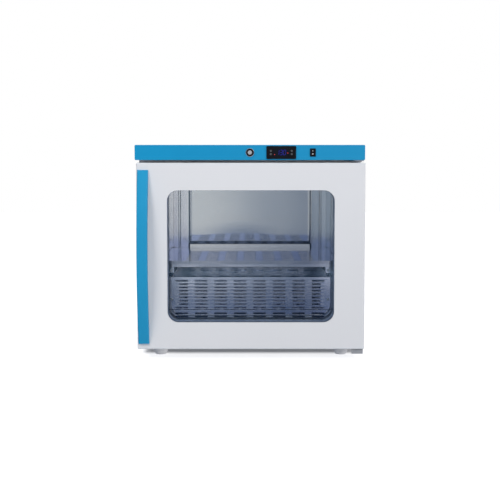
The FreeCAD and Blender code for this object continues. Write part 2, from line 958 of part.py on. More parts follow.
def door_cap_top():
    band = door_top - end_cap_band
    cap = end_cap(band, door_top, band - end_cap_plug, band, door_top)
    depth = cam_engagement + cam_tip_room
    pocket = cam_slot(door_top - depth, door_top)
    return cut_all(cap, [bush_room(door_top - bush_length, door_top), pocket])


def door_cap_bottom():
    band = door_bottom + end_cap_band
    cap = end_cap(door_bottom, band, band, band + end_cap_plug, door_bottom)
    return cap.cut(bush_room(door_bottom, door_bottom + bush_length))


def hinge_bushes():
    lower = rod(point(pin_x, pin_y, door_bottom), Z, bush_radius, bush_length)
    flange_height = door_lift - seat_gap
    flange = rod(point(pin_x, pin_y, door_bottom - flange_height), Z, bush_flange_radius, flange_height)
    lower = lower.fuse(flange).removeSplitter()
    upper = rod(point(pin_x, pin_y, door_top - bush_length), Z, bush_radius, bush_length)
    bore = rod(point(pin_x, pin_y, case_bottom), Z, pin_radius + pin_clearance, case_height)
    return Part.makeCompound([lower.cut(bore), upper.cut(bore)])


def hinge_pins():
    low = case_bottom - hinge_plate - pin_head_height
    lower = rod(point(pin_x, pin_y, low), Z, pin_radius, door_bottom + pin_engagement - low)
    head = rod(point(pin_x, pin_y, low), Z, pin_head_radius, pin_head_height)
    upper = rod(point(pin_x, pin_y, door_top - pin_engagement), Z, pin_radius,
                cap_bottom - door_top + pin_engagement)
    return Part.makeCompound([lower.fuse(head).removeSplitter(), upper])


def pin_hole():
    return rod(point(pin_x, pin_y, 0), Z, pin_radius + pin_clearance, cap_top)


def hinge_plate_upper():
    low = cap_bottom - hinge_plate
    plate = block(pin_x - hinge_plate_left, pin_x + hinge_plate_right, door_front + hinge_plate_front,
                  case_front - seat_gap, low, cap_bottom)
    fronts = [edge for edge in edges_along(plate, Z) if edge.CenterOfMass.y < pin_y]
    plate = plate.makeFillet(hinge_plate_right / 2, fronts)
    holes = [screw_hole(x, y, low, Z, hinge_plate) for x, y in upper_screw_places()]
    return cut_all(plate, [pin_hole()] + holes)


def upper_screw_places():
    y = (pin_y + case_front) / 2 + hinge_screw_step / 4
    return [(pin_x - hinge_screw_step / 2, y), (pin_x + hinge_screw_step / 2, y)]


def lower_screw_places():
    y = case_front + hinge_foot_length / 2
    return [(pin_x, y - hinge_screw_step), (pin_x, y + hinge_screw_step)]


def hinge_bracket_lower():
    left = pin_x - hinge_plate_left
    right = pin_x + hinge_plate_right
    front = door_front + hinge_plate_front
    low = case_bottom - hinge_plate
    plate = block(left, right, front, case_front + hinge_foot_length, low, case_bottom)
    lip = block(left, right, front, front + hinge_plate, low - hinge_lip + hinge_plate, low)
    bracket = plate.fuse(lip).removeSplitter()
    bend = [edge for edge in edges_along(bracket, X)
            if edge.CenterOfMass.y < front + 0.01 and edge.CenterOfMass.z > case_bottom - 0.01]
    bracket = bracket.makeFillet(hinge_plate * 0.8, bend)
    holes = [screw_hole(x, y, low, Z, hinge_plate) for x, y in lower_screw_places()]
    return cut_all(bracket, [pin_hole()] + holes)


def case_screws():
    # Hinge, access cover, inlet and shelf rail screws
    shank = screw_radius
    screws = []
    for x, y in upper_screw_places():
        screws.append(pan_screw(point(x, y, cap_bottom - hinge_plate), Z, shank, hinge_plate))
    for x, y in lower_screw_places():
        screws.append(pan_screw(point(x, y, case_bottom - hinge_plate), Z, shank, hinge_plate))
    for x, z in access_screw_places():
        screws.append(pan_screw(point(x, case_back + case_sheet, z), Y * -1, shank, 2 * case_sheet))
    for x in inlet_screw_places():
        screws.append(pan_screw(point(x, case_back + inlet_proud, cap_middle), Y * -1, shank, inlet_proud))
    for side in (-1, 1):
        screws.append(pan_screw(point(side * shelf_tab_screw_place()[0], shelf_tab_plane,
                                      shelf_tab_screw_place()[1]), Y, shank, shelf_rail_sheet))
    return Part.makeCompound(screws)


def gasket_ring(outer_inset, inner_inset, y0, y1):
    left = door_left + gasket_inset
    right = door_right - gasket_inset
    low = door_bottom + gasket_inset
    high = door_top - gasket_inset
    outer = block(left + outer_inset, right - outer_inset, y0, y1, low + outer_inset, high - outer_inset)
    inner = block(left + inner_inset, right - inner_inset, y0, y1, low + inner_inset, high - inner_inset)
    return outer.cut(inner)


def door_gasket():
    # Folded profile: a foot on the door, a narrow waist, a bellows and the magnet strip
    step = (gasket_depth - seat_gap) / 5
    waist = gasket_width * 0.25
    layers = [(waist, 1), (waist * 1.6, 1), (0.0, 1), (waist * 0.6, 1), (0.0, 1)]
    rings = []
    y = door_back
    for inset, count in layers:
        rings.append(gasket_ring(inset, gasket_width - inset, y, y + step * count))
        y += step * count
    return fused(rings)


# Handle


def arc_through(start, middle, end):
    return Part.Arc(start, middle, end).toShape()


def handle_levels():
    middle = door_middle - handle_drop
    half = (door_top - door_bottom) / 2 - handle_margin
    return middle - half, middle, middle + half


def handle_left():
    return door_left + handle_inset


def handle_bow():
    # A bow seen from the side, pulled across the door's width
    x = handle_left()
    low, middle, high = handle_levels()
    face = door_front
    inner_low = low + handle_pad
    inner_high = high - handle_pad
    edges = [
        Part.LineSegment(point(x, face, low), point(x, face - handle_end, low)).toShape(),
        arc_through(point(x, face - handle_end, low), point(x, face - handle_reach, middle),
                    point(x, face - handle_end, high)),
        Part.LineSegment(point(x, face - handle_end, high), point(x, face, high)).toShape(),
        Part.LineSegment(point(x, face, high), point(x, face, inner_high)).toShape(),
        arc_through(point(x, face, inner_high), point(x, face - handle_gap, middle),
                    point(x, face, inner_low)),
        Part.LineSegment(point(x, face, inner_low), point(x, face, low)).toShape(),
    ]
    bow = Part.Face(Part.Wire(edges)).extrude(X * handle_width)
    outer = [edge for edge in bow.Edges if edge.BoundBox.YMin < face - handle_reach + 0.1
             and edge.BoundBox.ZLength > middle - low]
    bow = bow.makeChamfer(handle_round, outer)
    depth = handle_screw_depth + seat_gap
    holes = [screw_hole(px, face, pz, Y * -1, depth, handle_screw_radius)
             for px, pz in handle_screw_places()]
    return cut_all(bow, holes)


def handle_screw_places():
    low, middle, high = handle_levels()
    x = handle_left() + handle_width / 2
    return [(x, low + handle_screw_from_end), (x, high - handle_screw_from_end)]


def handle_screws():
    screws = []
    for x, z in handle_screw_places():
        screws.append(pan_screw(point(x, door_front + door_sheet, z), Y * -1, handle_screw_radius,
                                door_sheet + handle_screw_depth))
    return Part.makeCompound(screws)


# Shelf


def shelf_panel():
    half = shelf_half
    low = shelf_level - shelf_sheet
    front = shelf_front_plane
    floor = block(-half, half, front, shelf_back, low, shelf_level)
    lip = block(-half, half, front, front + shelf_sheet, shelf_level - shelf_lip, shelf_level)
    hem = block(-half, half, front, front + shelf_hem, shelf_level - shelf_lip,
                shelf_level - shelf_lip + shelf_sheet)
    reach = chamber_half - duct_width - shelf_stop_side_gap
    stop = block(-reach, reach, shelf_back - shelf_sheet, shelf_back, low, shelf_level + shelf_stop)
    panel = fused([floor, lip, hem, stop])
    nose = [edge for edge in edges_along(panel, X)
            if edge.CenterOfMass.y < front + 0.01 and edge.CenterOfMass.z > shelf_level - 0.01]
    panel = panel.makeChamfer(shelf_sheet / 2, nose)
    return cut_all(panel, shelf_slots(low))


def shelf_slots(low):
    # The slots fill the front and the middle, and the rear of the shelf is plain
    cutters = []
    for row in range(shelf_slot_rows):
        y = shelf_front_plane + shelf_slot_front + row * shelf_slot_pitch
        for x in centred_places(shelf_columns, slot_pitch_x):
            cutters.append(block(x - slot_length / 2, x + slot_length / 2, y, y + shelf_slot,
                                 low, shelf_level))
    return cutters


def shelf_tab_screw_place():
    return chamber_half - shelf_tab_width + shelf_tab_screw, shelf_tab_low + shelf_tab_screw


def shelf_rails():
    rails = []
    top = shelf_rail_top
    # The hem of the shelf's lip hangs in front of the tab, so the foot starts behind it
    start = shelf_front_plane + shelf_hem + slip_gap
    end = duct_front - duct_bead - seat_gap
    for side in (-1, 1):
        wall = block(chamber_half - shelf_rail_sheet, chamber_half, start, end,
                     top - shelf_rail_foot, top)
        foot = block(chamber_half - shelf_rail_foot, chamber_half, start, end,
                     top - shelf_rail_sheet, top)
        tab = block(chamber_half - shelf_tab_width, chamber_half, shelf_tab_plane,
                    shelf_tab_plane + shelf_rail_sheet, shelf_tab_low, shelf_level - shelf_lip - seat_gap)
        arm = block(chamber_half - shelf_rail_sheet, chamber_half, shelf_tab_plane, start,
                    shelf_tab_low, top)
        rail = fused([wall, foot, tab, arm])
        x, z = shelf_tab_screw_place()
        rail = rail.cut(screw_hole(x, shelf_tab_plane, z, Y, shelf_rail_sheet))
        if side < 0:
            rail = rail.mirror(point(0, 0, 0), X)
        rails.append(rail)
    return Part.makeCompound(rails)


# Basket


def basket_front():
    half = chamber_half - basket_front_side_gap
    plane = basket_front_plane
    sheet = front_rect(-half, half, basket_bottom, basket_top, cap_corner, plane, plane + basket_sheet)
    rim = block(-basket_half, basket_half, plane + basket_sheet, plane + shelf_hem,
                basket_top - basket_sheet, basket_top)
    plate = sheet.fuse(rim).removeSplitter()
    holes = [screw_hole(x, plane, basket_screw_z, Y, basket_sheet) for x in basket_screw_places()]
    return cut_all(plate, front_slots(basket_top, basket_rows, plane, basket_sheet) + holes)


def basket_screw_places():
    return [-basket_screw_x, basket_screw_x]


def basket_screws():
    screws = []
    for x in basket_screw_places():
        screws.append(pan_screw(point(x, basket_front_plane, basket_screw_z), Y, screw_radius,
                                2 * basket_sheet))
    return Part.makeCompound(screws)


def basket_tray():
    half = basket_half
    front = basket_front_plane + basket_sheet
    back = basket_back
    low = basket_floor
    side_top = low + basket_side_height
    sheet = basket_sheet
    floor = block(-half, half, front, back, low, low + sheet)
    sides = [block(-half, -half + sheet, front, back, low, side_top),
             block(half - sheet, half, front, back, low, side_top)]
    rear = block(-half, half, back - sheet, back, low, low + basket_rear_height)
    tabs = [block(-half, -half + basket_tab, front, front + sheet, low, side_top),
            block(half - basket_tab, half, front, front + sheet, low, side_top)]
    tray = fused([floor, rear] + sides + tabs)
    holes = [screw_hole(x, front, basket_screw_z, Y, sheet) for x in basket_screw_places()]
    return cut_all(tray, holes + basket_floor_slots(low) + basket_rear_slots(back))


def basket_floor_slots(low):
    cutters = []
    middle = (basket_front_plane + basket_back) / 2
    pitch = (basket_back - basket_front_plane) / basket_floor_slot_rows
    half = basket_floor_slot / 2
    for x in centred_places(front_columns, slot_pitch_x):
        for y in centred_places(basket_floor_slot_rows, pitch):
            cutters.append(block(x - shelf_slot / 2, x + shelf_slot / 2, middle + y - half,
                                 middle + y + half, low, low + basket_sheet))
    return cutters


def basket_rear_slots(back):
    cutters = []
    for x in centred_places(front_columns, slot_pitch_x):
        for row in range(basket_rear_slot_rows):
            z = basket_floor + basket_rear_height - first_slot_row - row * 2 * slot_pitch_z
            cutters.append(block(x - slot_length / 2, x + slot_length / 2, back - basket_sheet, back,
                                 z - slot_height / 2, z + slot_height / 2))
    return cutters


def basket_rails():
    # Lipped channels on the chamber's side walls
    half = channel_height / 2
    start = basket_front_plane + shelf_hem
    wall = chamber_half
    mouth = channel_mouth
    rails = []
    for side in (-1, 1):
        outer = block(mouth, wall, start, start + runner_length, runner_level - half, runner_level + half)
        room = block(mouth + channel_sheet, wall - channel_sheet, start, start + runner_length,
                     runner_level - half + channel_sheet, runner_level + half - channel_sheet)
        throat = block(mouth, mouth + channel_sheet, start, start + runner_length,
                       runner_level - half + channel_lip, runner_level + half - channel_lip)
        rail = cut_all(outer, [room, throat])
        if side < 0:
            rail = rail.mirror(point(0, 0, 0), X)
        rails.append(rail)
    return Part.makeCompound(rails)


def basket_runners():
    # T bars on the basket's sides, each with its head inside the channel
    half = channel_height / 2
    start = basket_front_plane + shelf_hem + runner_gap
    mouth = channel_mouth
    neck_half = half - channel_lip - runner_gap
    head_half = half - channel_sheet - runner_gap
    head_start = mouth + channel_sheet + runner_gap
    head_end = chamber_half - channel_sheet - runner_gap
    runners = []
    for side in (-1, 1):
        neck = block(basket_half, head_start, start, start + runner_length, runner_level - neck_half,
                     runner_level + neck_half)
        head = block(head_start, head_end, start, start + runner_length, runner_level - head_half,
                     runner_level + head_half)
        runner = neck.fuse(head).removeSplitter()
        if side < 0:
            runner = runner.mirror(point(0, 0, 0), X)
        runners.append(runner)
    return Part.makeCompound(runners)


# Heating


def plenum_cover():
    half = chamber_half - seat_gap
    plane = basket_front_plane
    back = chamber_back - seat_gap
    low = chamber_floor + seat_gap
    riser = block(-half, half, plane, plane + plenum_sheet, low + chamber_corner, plenum_top)
    toe = block(-half + chamber_corner, half - chamber_corner, plane, plane + plenum_sheet, low,
                low + chamber_corner)
    top = block(-half, half, plane, back, plenum_top - plenum_sheet, plenum_top)
    cover = fused([riser, toe, top])
    nose = [edge for edge in edges_along(cover, X)
            if edge.CenterOfMass.y < plane + 0.01 and edge.CenterOfMass.z > plenum_top - 0.01]
    cover = cover.makeChamfer(plenum_sheet / 2, nose)
    cutters = front_slots(plenum_top, riser_rows, plane, plenum_sheet)
    return cut_all(cover, cutters + fan_grille() + duct_mouths())


def fan_grille():
    # Parallel slots over the fan, each as long as the bore's circle lets it be
    cutters = []
    radius = fan_bore - slot_height
    for y in centred_places(grille_slots, grille_pitch):
        reach = math.sqrt(max(radius ** 2 - y ** 2, 0.0))
        cutters.append(block(-reach, reach, fan_y + y - slot_height, fan_y + y + slot_height,
                             plenum_top - plenum_sheet, plenum_top))
    return cutters


def duct_mouths():
    margin = duct_corner + duct_sheet
    mouths = []
    for side in (-1, 1):
        outer = side * (chamber_half - margin)
        inner = side * (chamber_half - duct_width + margin)
        mouths.append(block(min(outer, inner), max(outer, inner), duct_front + margin,
                            chamber_back - margin, plenum_top - plenum_sheet, plenum_top))
    return mouths


def air_ducts():
    low = plenum_top
    height = chamber_roof - seat_gap - low
    wall = chamber_half - seat_gap
    edge = chamber_half - duct_width
    top_trim = chamber_corner
    bend_x = edge + duct_corner
    bend_y = duct_front + duct_corner
    bead_x = chamber_half - duct_bead_offset
    ducts = []
    for side in (-1, 1):
        face = block(bend_x, wall, duct_front, duct_front + duct_sheet, low, low + height)
        cheek = block(edge, edge + duct_sheet, bend_y, chamber_back - seat_gap, low, low + height)
        bend = tube(point(bend_x, bend_y, low), Z, duct_corner, duct_corner - duct_sheet, height)
        bend = bend.common(block(edge, bend_x, duct_front, bend_y, low, low + height))
        bead = tube(point(bead_x, duct_front + duct_sheet, low), Z, duct_bead, duct_bead - duct_sheet, height)
        bead = bead.common(block(bead_x - duct_bead, bead_x + duct_bead, duct_front - duct_bead,
                                 duct_front + duct_sheet, low, low + height))
        gap = block(bead_x - duct_bead + duct_sheet, bead_x + duct_bead - duct_sheet, duct_front,
                    duct_front + duct_sheet, low, low + height)
        duct = fused([face.cut(gap), cheek, bend, bead])
        trim = block(wall - top_trim, wall, duct_front - duct_bead, chamber_back,
                     low + height - top_trim, low + height)
        outlets = []
        for z in centred_places(duct_outlets, height / (duct_outlets + 1)):
            middle = low + height / 2 + z
            outlets.append(block(edge, edge + duct_sheet, (duct_front + chamber_back) / 2,
                                 (duct_front + chamber_back) / 2 + duct_outlet_width,
                                 middle - duct_outlet_height / 2, middle + duct_outlet_height / 2))
        duct = cut_all(duct, [trim] + outlets)
        if side < 0:
            duct = duct.mirror(point(0, 0, 0), X)
        ducts.append(duct)
    return Part.makeCompound(ducts)


def fan_frame():
    half = fan_size / 2
    frame = block(-half, half, fan_y - half, fan_y + half, fan_bottom, fan_top)
    frame = frame.makeChamfer(fan_corner, edges_along(frame, Z))
    frame = frame.cut(faceted_bore(point(0, fan_y, fan_bottom), Z, fan_bore, fan_depth))
    stator = faceted_rod(point(0, fan_y, fan_bottom), Z, stator_radius, stator_height, round_sides)
    struts = []
    for turn in range(4):
        strut = block(0, fan_bore + strut_bite, -strut_width / 2, strut_width / 2, 0, strut_height)
        strut.rotate(point(0, 0, 0), Z, 90 * turn + 45)
        strut.translate(point(0, fan_y, fan_bottom))
        struts.append(strut)
    frame = fused([frame, stator] + struts)
    step = fan_screw_spacing / 2
    holes = [screw_hole(sx * step, fan_y + sy * step, fan_bottom, Z, fan_depth)
             for sx in (-1, 1) for sy in (-1, 1)]
    bearing = rod(point(0, fan_y, fan_bottom), Z, shaft_radius + pin_clearance, stator_height)
    return cut_all(frame, holes + [bearing])


def fan_rotor():
    low = fan_bottom + strut_height + slip_gap * 2
    high = fan_top - slip_gap * 4
    lid = fan_bottom + stator_height + slip_gap * 2
    hub = faceted_rod(point(0, fan_y, low), Z, hub_radius, high - low, round_sides)
    hub = hub.cut(faceted_bore(point(0, fan_y, low), Z, stator_radius + slip_gap * 2, lid - low))
    shaft = rod(point(0, fan_y, fan_bottom), Z, shaft_radius, lid - fan_bottom)
    # Flat blades, as long across as the hub's height allows at their pitch
    pitch = math.radians(blade_pitch_deg)
    chord = (high - low - blade_thickness * math.cos(pitch)) / math.sin(pitch)
    tip = math.sqrt((fan_bore - blade_tip_gap) ** 2 - (chord / 2) ** 2)
    root = hub_radius - slip_gap * 2
    blades = []
    for index in range(blade_count):
        blade = block(root, tip, -blade_thickness / 2, blade_thickness / 2, -chord / 2, chord / 2)
        blade.rotate(point(0, 0, 0), X, 90 - blade_pitch_deg)
        blade.translate(point(0, 0, (high - low) / 2))
        blade.rotate(point(0, 0, 0), Z, 360 * index / blade_count)
        blade.translate(point(0, fan_y, low))
        blades.append(blade)
    return fused([hub, shaft] + blades)


def heater_element():
    # One tube bent into three U turns, with its two ends at the back
    z = heater_level
    xs = [-3 * heater_bend, -heater_bend, heater_bend, 3 * heater_bend]
    terminal = chamber_back - heater_terminal_gap
    ends = [terminal, heater_back, heater_back, terminal]
    route = []
    for index, x in enumerate(xs):
        run = [point(x, ends[index], z), point(x, heater_front, z)]
        turn_y, bulge = heater_front, -heater_bend
        if index % 2:
            run.reverse()
            turn_y, bulge = heater_back, heater_bend
        route += run
        if index < len(xs) - 1:
            route += bend_points(x, turn_y, bulge, z)
    path = Part.makePolygon(route)
    end = faceted_rod(point(xs[0], terminal, z), Y, heater_radius, heater_radius, heater_sides)
    section = [face for face in end.Faces if face.CenterOfMass.y < terminal + 0.01][0]
    return path.makePipeShell([section.OuterWire], True, False, 1)


def bend_points(x, turn_y, bulge, z):
    # The mitred steps of one U turn, between its two ends
    points = []
    for step in range(1, heater_bend_steps):
        angle = math.pi * step / heater_bend_steps
        points.append(point(x + heater_bend * (1 - math.cos(angle)), turn_y + bulge * math.sin(angle), z))
    return points


def heater_brackets():
    low = chamber_floor
    half = 3 * heater_bend + heater_bracket_end
    brackets = []
    for y in (heater_front + heater_bracket_inset, heater_back - heater_bracket_inset):
        wall = block(-half, half, y, y + heater_bracket_sheet, low, low + heater_bracket_height)
        foot = block(-half, half, y, y + heater_bracket_height / 2, low, low + heater_bracket_sheet)
        holes = [faceted_rod(point(k * heater_bend, y, heater_level), Y, heater_radius + seat_gap / 2,
                             heater_bracket_sheet, heater_sides) for k in (-3, -1, 1, 3)]
        brackets.append(cut_all(wall.fuse(foot).removeSplitter(), holes))
    return Part.makeCompound(brackets)


def temp_probe():
    z = chamber_roof - probe_drop
    back = chamber_back - probe_back
    bulb = rod(point(probe_across, back - probe_length, z), Y, probe_radius, probe_length)
    half = probe_radius * 2
    clip = block(probe_across - half, probe_across + half, back - probe_length / 2 - half,
                 back - probe_length / 2, z - probe_radius - probe_clip, chamber_roof)
    clip = clip.cut(rod(point(probe_across, back - probe_length, z), Y, probe_radius + screw_clearance,
                        probe_length))
    return Part.makeCompound([bulb, clip])


def limit_thermostat():
    back = chamber_back - seat_gap
    can = rod(point(thermostat_across, back - thermostat_depth, thermostat_level), Y, thermostat_radius,
              thermostat_depth)
    half = thermostat_radius / 2
    ears = block(thermostat_across - thermostat_ear, thermostat_across + thermostat_ear,
                 back - shelf_sheet, back, thermostat_level - half, thermostat_level + half)
    blades = []
    for dx in (-thermostat_blade_spread, thermostat_blade_spread):
        left = thermostat_across + dx - thermostat_blade / 2
        blades.append(block(left, left + thermostat_blade, back - thermostat_depth - thermostat_blade_length,
                            back - thermostat_depth, thermostat_level - half, thermostat_level + half))
    return fused([can, ears] + blades)


# Feet


def front_foot_places():
    y = case_front + foot_front_inset
    return [(foot_left, y), (foot_right, y)]


def rear_foot_places():
    y = case_back - foot_rear_inset
    return [(foot_left, y), (foot_right, y)]


def foot_pad(x, y, top):
    pad = faceted_rod(point(x, y, foot_taper), Z, foot_radius, top - foot_taper, round_sides)
    sole = ring_points(point(x, y, 0), Z, foot_sole_radius, round_sides)
    rim = ring_points(point(x, y, foot_taper), Z, foot_radius, round_sides)
    taper = frustum(sole, rim)
    return pad.fuse(taper).removeSplitter()


def adjustable_foot(x, y):
    top = case_bottom + case_sheet - seat_gap
    stud_end = case_bottom + case_sheet + cap_sheet + stud_length
    stud = faceted_rod(point(x, y, top), Z, stud_radius, stud_end - top)
    return foot_pad(x, y, top).fuse(stud).removeSplitter()


def rear_feet():
    top = case_bottom + case_sheet
    return Part.makeCompound([foot_pad(x, y, top) for x, y in rear_foot_places()])


def foot_inserts():
    low = case_bottom + case_sheet + cap_sheet
    inserts = []
    for x, y in front_foot_places():
        bore = faceted_rod(point(x, y, low), Z, stud_radius + pin_clearance, stud_length)
        inserts.append(faceted_rod(point(x, y, low), Z, insert_radius, stud_length).cut(bore))
    return Part.makeCompound(inserts)


def all_nodes():
    nodes = {
        "outer_wrapper": outer_wrapper(),
        "base_pan": base_pan(),
        "rear_panel": rear_panel(),
        "rear_access_cover": rear_access_cover(),
        "liner": liner(),
        "breaker_frame": breaker_frame(),
        "insulation": insulation(),
        "top_cover": top_cover(),
        "control_fascia": control_fascia(),
        "control_tray": control_tray(),
        "lock_body": lock_body(),
        "lock_nut": lock_nut(),
        "lock_plug": lock_plug(),
        "lock_cam": lock_cam(),
        "controller_housing": controller_housing(),
        "display_lens": display_lens(),
        "switch_housing": switch_housing(),
        "power_rocker": power_rocker(),
        "mains_inlet": mains_inlet(),
        "inlet_pins": inlet_pins(),
        "door_skin": door_skin(),
        "door_foam": door_foam(),
        "door_inner_frame": door_inner_frame(),
        "door_cap_top": door_cap_top(),
        "door_cap_bottom": door_cap_bottom(),
        "door_gasket": door_gasket(),
        "glass_outer": glass_outer(),
        "glass_spacer": glass_spacer(),
        "glass_inner": glass_inner(),
        "handle_bow": handle_bow(),
        "handle_screws": handle_screws(),
        "hinge_bushes": hinge_bushes(),
        "hinge_pins": hinge_pins(),
        "hinge_plate_upper": hinge_plate_upper(),
        "hinge_bracket_lower": hinge_bracket_lower(),
        "case_screws": case_screws(),
        "shelf_panel": shelf_panel(),
        "shelf_rails": shelf_rails(),
        "basket_front": basket_front(),
        "basket_tray": basket_tray(),
        "basket_runners": basket_runners(),
        "basket_rails": basket_rails(),
        "basket_screws": basket_screws(),
        "plenum_cover": plenum_cover(),
        "air_ducts": air_ducts(),
        "fan_frame": fan_frame(),
        "fan_rotor": fan_rotor(),
        "heater_element": heater_element(),
        "heater_brackets": heater_brackets(),
        "temp_probe": temp_probe(),
        "limit_thermostat": limit_thermostat(),
        "foot_inserts": foot_inserts(),
        "rear_feet": rear_feet(),
    }
    for name, (x, z) in key_places().items():
        nodes[name] = controller_key(x, z)
    for name, (x, y) in zip(("foot_front_left", "foot_front_right"), front_foot_places()):
        nodes[name] = adjustable_foot(x, y)
    return nodes


def main():
    os.makedirs("parts", exist_ok=True)
    for name, shape in all_nodes().items():
        # The frame's origin lies on the floor under the middle of the whole object
        shape.translate(X * -whole_middle)
        shape.exportStep("parts/" + name + ".step")
        print(name, len(shape.Solids), shape.isValid(), round(shape.Volume))


main()
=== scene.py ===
import json
import math

import bmesh
import bpy
from mathutils import Matrix, Vector


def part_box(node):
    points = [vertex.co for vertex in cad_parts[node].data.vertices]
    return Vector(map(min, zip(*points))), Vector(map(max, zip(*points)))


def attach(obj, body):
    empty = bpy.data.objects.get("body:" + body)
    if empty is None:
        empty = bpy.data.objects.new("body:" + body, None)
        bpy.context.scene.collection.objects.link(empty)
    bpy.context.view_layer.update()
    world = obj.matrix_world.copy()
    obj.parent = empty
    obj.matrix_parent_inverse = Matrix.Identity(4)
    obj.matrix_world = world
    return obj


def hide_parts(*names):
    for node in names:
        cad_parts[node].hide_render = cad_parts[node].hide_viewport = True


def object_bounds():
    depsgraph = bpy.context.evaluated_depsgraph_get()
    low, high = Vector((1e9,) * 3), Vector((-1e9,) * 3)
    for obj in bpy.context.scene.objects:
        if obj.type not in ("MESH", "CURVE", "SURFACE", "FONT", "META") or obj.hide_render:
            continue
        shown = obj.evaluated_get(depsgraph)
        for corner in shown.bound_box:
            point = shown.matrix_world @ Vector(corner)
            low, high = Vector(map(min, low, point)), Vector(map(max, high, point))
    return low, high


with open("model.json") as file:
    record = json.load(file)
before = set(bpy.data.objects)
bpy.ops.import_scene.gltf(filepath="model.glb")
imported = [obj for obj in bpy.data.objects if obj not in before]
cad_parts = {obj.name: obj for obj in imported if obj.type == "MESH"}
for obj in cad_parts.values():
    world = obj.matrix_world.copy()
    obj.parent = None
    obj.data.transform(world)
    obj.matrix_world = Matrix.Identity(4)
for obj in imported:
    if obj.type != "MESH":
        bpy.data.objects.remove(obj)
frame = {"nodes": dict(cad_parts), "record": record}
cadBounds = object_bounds()
nodes = frame["nodes"]
mm = 0.001
axisX, axisY, axisZ = Vector((1, 0, 0)), Vector((0, 1, 0)), Vector((0, 0, 1))
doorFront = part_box("door_skin")[0].y
print("frame loaded:", len(nodes), "nodes")


# Node helpers

def feed(tree, node, inputs):
    # each input takes either a link or a constant, a colour as three shares of light
    for key, value in inputs.items():
        socket = node.inputs[key]
        if isinstance(value, bpy.types.NodeSocket):
            tree.links.new(value, socket)
        else:
            socket.default_value = (*value, 1.0) if socket.type == "RGBA" else value


def addNode(tree, kind, inputs=None, **settings):
    node = tree.nodes.new("ShaderNode" + kind)
    for key, value in settings.items():
        setattr(node, key, value)
    feed(tree, node, inputs or {})
    return node


def startGroup(name, inputs, outputs):
    group = bpy.data.node_groups.new(name, "ShaderNodeTree")
    for label, kind in inputs:
        group.interface.new_socket(name=label, in_out="INPUT", socket_type="NodeSocket" + kind)
    for label in outputs:
        group.interface.new_socket(name=label, in_out="OUTPUT", socket_type="NodeSocketFloat")
    return group, group.nodes.new("NodeGroupInput").outputs, group.nodes.new("NodeGroupOutput").inputs


def noise(tree, vector, scale, detail=2.0, rough=0.5):
    inputs = {"Vector": vector, "Scale": scale, "Detail": detail, "Roughness": rough}
    return addNode(tree, "TexNoise", inputs).outputs["Fac"]


def spread(tree, value, low, high, toLow=0.0, toHigh=1.0):
    inputs = {"Value": value, "From Min": low, "From Max": high, "To Min": toLow, "To Max": toHigh}
    return addNode(tree, "MapRange", inputs).outputs["Result"]


def blendColours(tree, factor, first, second, mode="MIX"):
    return addNode(tree, "MixRGB", {"Fac": factor, "Color1": first, "Color2": second},
                   blend_type=mode).outputs["Color"]


def calculate(tree, operation, first, second=0.5):
    return addNode(tree, "Math", {0: first, 1: second}, operation=operation).outputs[0]


def mixShaders(tree, factor, first, second, output):
    mixer = addNode(tree, "MixShader", {"Fac": factor, 1: first.outputs[0], 2: second.outputs[0]})
    tree.links.new(mixer.outputs[0], output.inputs["Surface"])


# Shared surface effects

placeAndSize = [("Vector", "Vector"), ("Size", "Float")]


def makeMask(name, detail, rough, low, high):
    # soft blots: a slow change of tone over a panel, or faint prints and wiping marks
    group, given, result = startGroup(name, placeAndSize, ["Mask"])
    blots = noise(group, given["Vector"], given["Size"], detail, rough)
    group.links.new(spread(group, blots, low, high), result["Mask"])
    return group


def makePaintPeel():
    # orange peel of a powder coat: a fine ripple on a slower swell
    group, given, result = startGroup("paintPeel", placeAndSize, ["Height"])
    ripple = noise(group, given["Vector"], given["Size"], detail=1.0, rough=0.4)
    slower = calculate(group, "MULTIPLY", given["Size"], 0.22)
    swell = noise(group, given["Vector"], slower, detail=1.0, rough=0.4)
    group.links.new(calculate(group, "ADD", ripple, swell), result["Height"])
    return group


def makeRollGrain():
    # rolling lines of bright sheet, long one way
    group, given, result = startGroup("rollGrain", placeAndSize + [("Stretch", "Vector")],
                                      ["Height", "Streak"])
    pulled = addNode(group, "VectorMath", {0: given["Vector"], 1: given["Stretch"]},
                     operation="MULTIPLY").outputs[0]
    group.links.new(noise(group, pulled, given["Size"], detail=6.0, rough=0.6), result["Height"])
    streak = noise(group, pulled, scale=7.0, detail=3.0, rough=0.6)
    group.links.new(spread(group, streak, low=0.35, high=0.65), result["Streak"])
    return group


def makeMouldGrain():
    # spark-eroded grain of moulded plastic
    group, given, result = startGroup("mouldGrain", placeAndSize, ["Height"])
    cells = addNode(group, "TexVoronoi", {"Vector": given["Vector"], "Scale": given["Size"]})
    rough = noise(group, given["Vector"], given["Size"])
    group.links.new(calculate(group, "ADD", cells.outputs["Distance"], rough), result["Height"])
    return group


effects = {
    "drift": makeMask("softDrift", detail=3.0, rough=0.55, low=0.3, high=0.7),
    "peel": makePaintPeel(),
    "grain": makeRollGrain(),
    "mould": makeMouldGrain(),
    "handling": makeMask("handling", detail=5.0, rough=0.62, low=0.42, high=0.72),
}


def useEffect(tree, name, vector, **values):
    node = tree.nodes.new("ShaderNodeGroup")
    node.node_tree = effects[name]
    feed(tree, node, {"Vector": vector, **values})
    return node.outputs


def startMaterial(name):
    material = bpy.data.materials.new(name)
    material.use_nodes = True
    tree = material.node_tree
    place = tree.nodes.new("ShaderNodeTexCoord").outputs["Object"]
    return material, tree, tree.nodes["Principled BSDF"], place


def handled(tree, place, kind, gloss, blur):
    # roughness from a gloss up by a blur where hands have been
    marks = useEffect(tree, "handling", place, Size=markSizes[kind])["Mask"]
    return spread(tree, marks, 0.0, 1.0, gloss, gloss + blur)


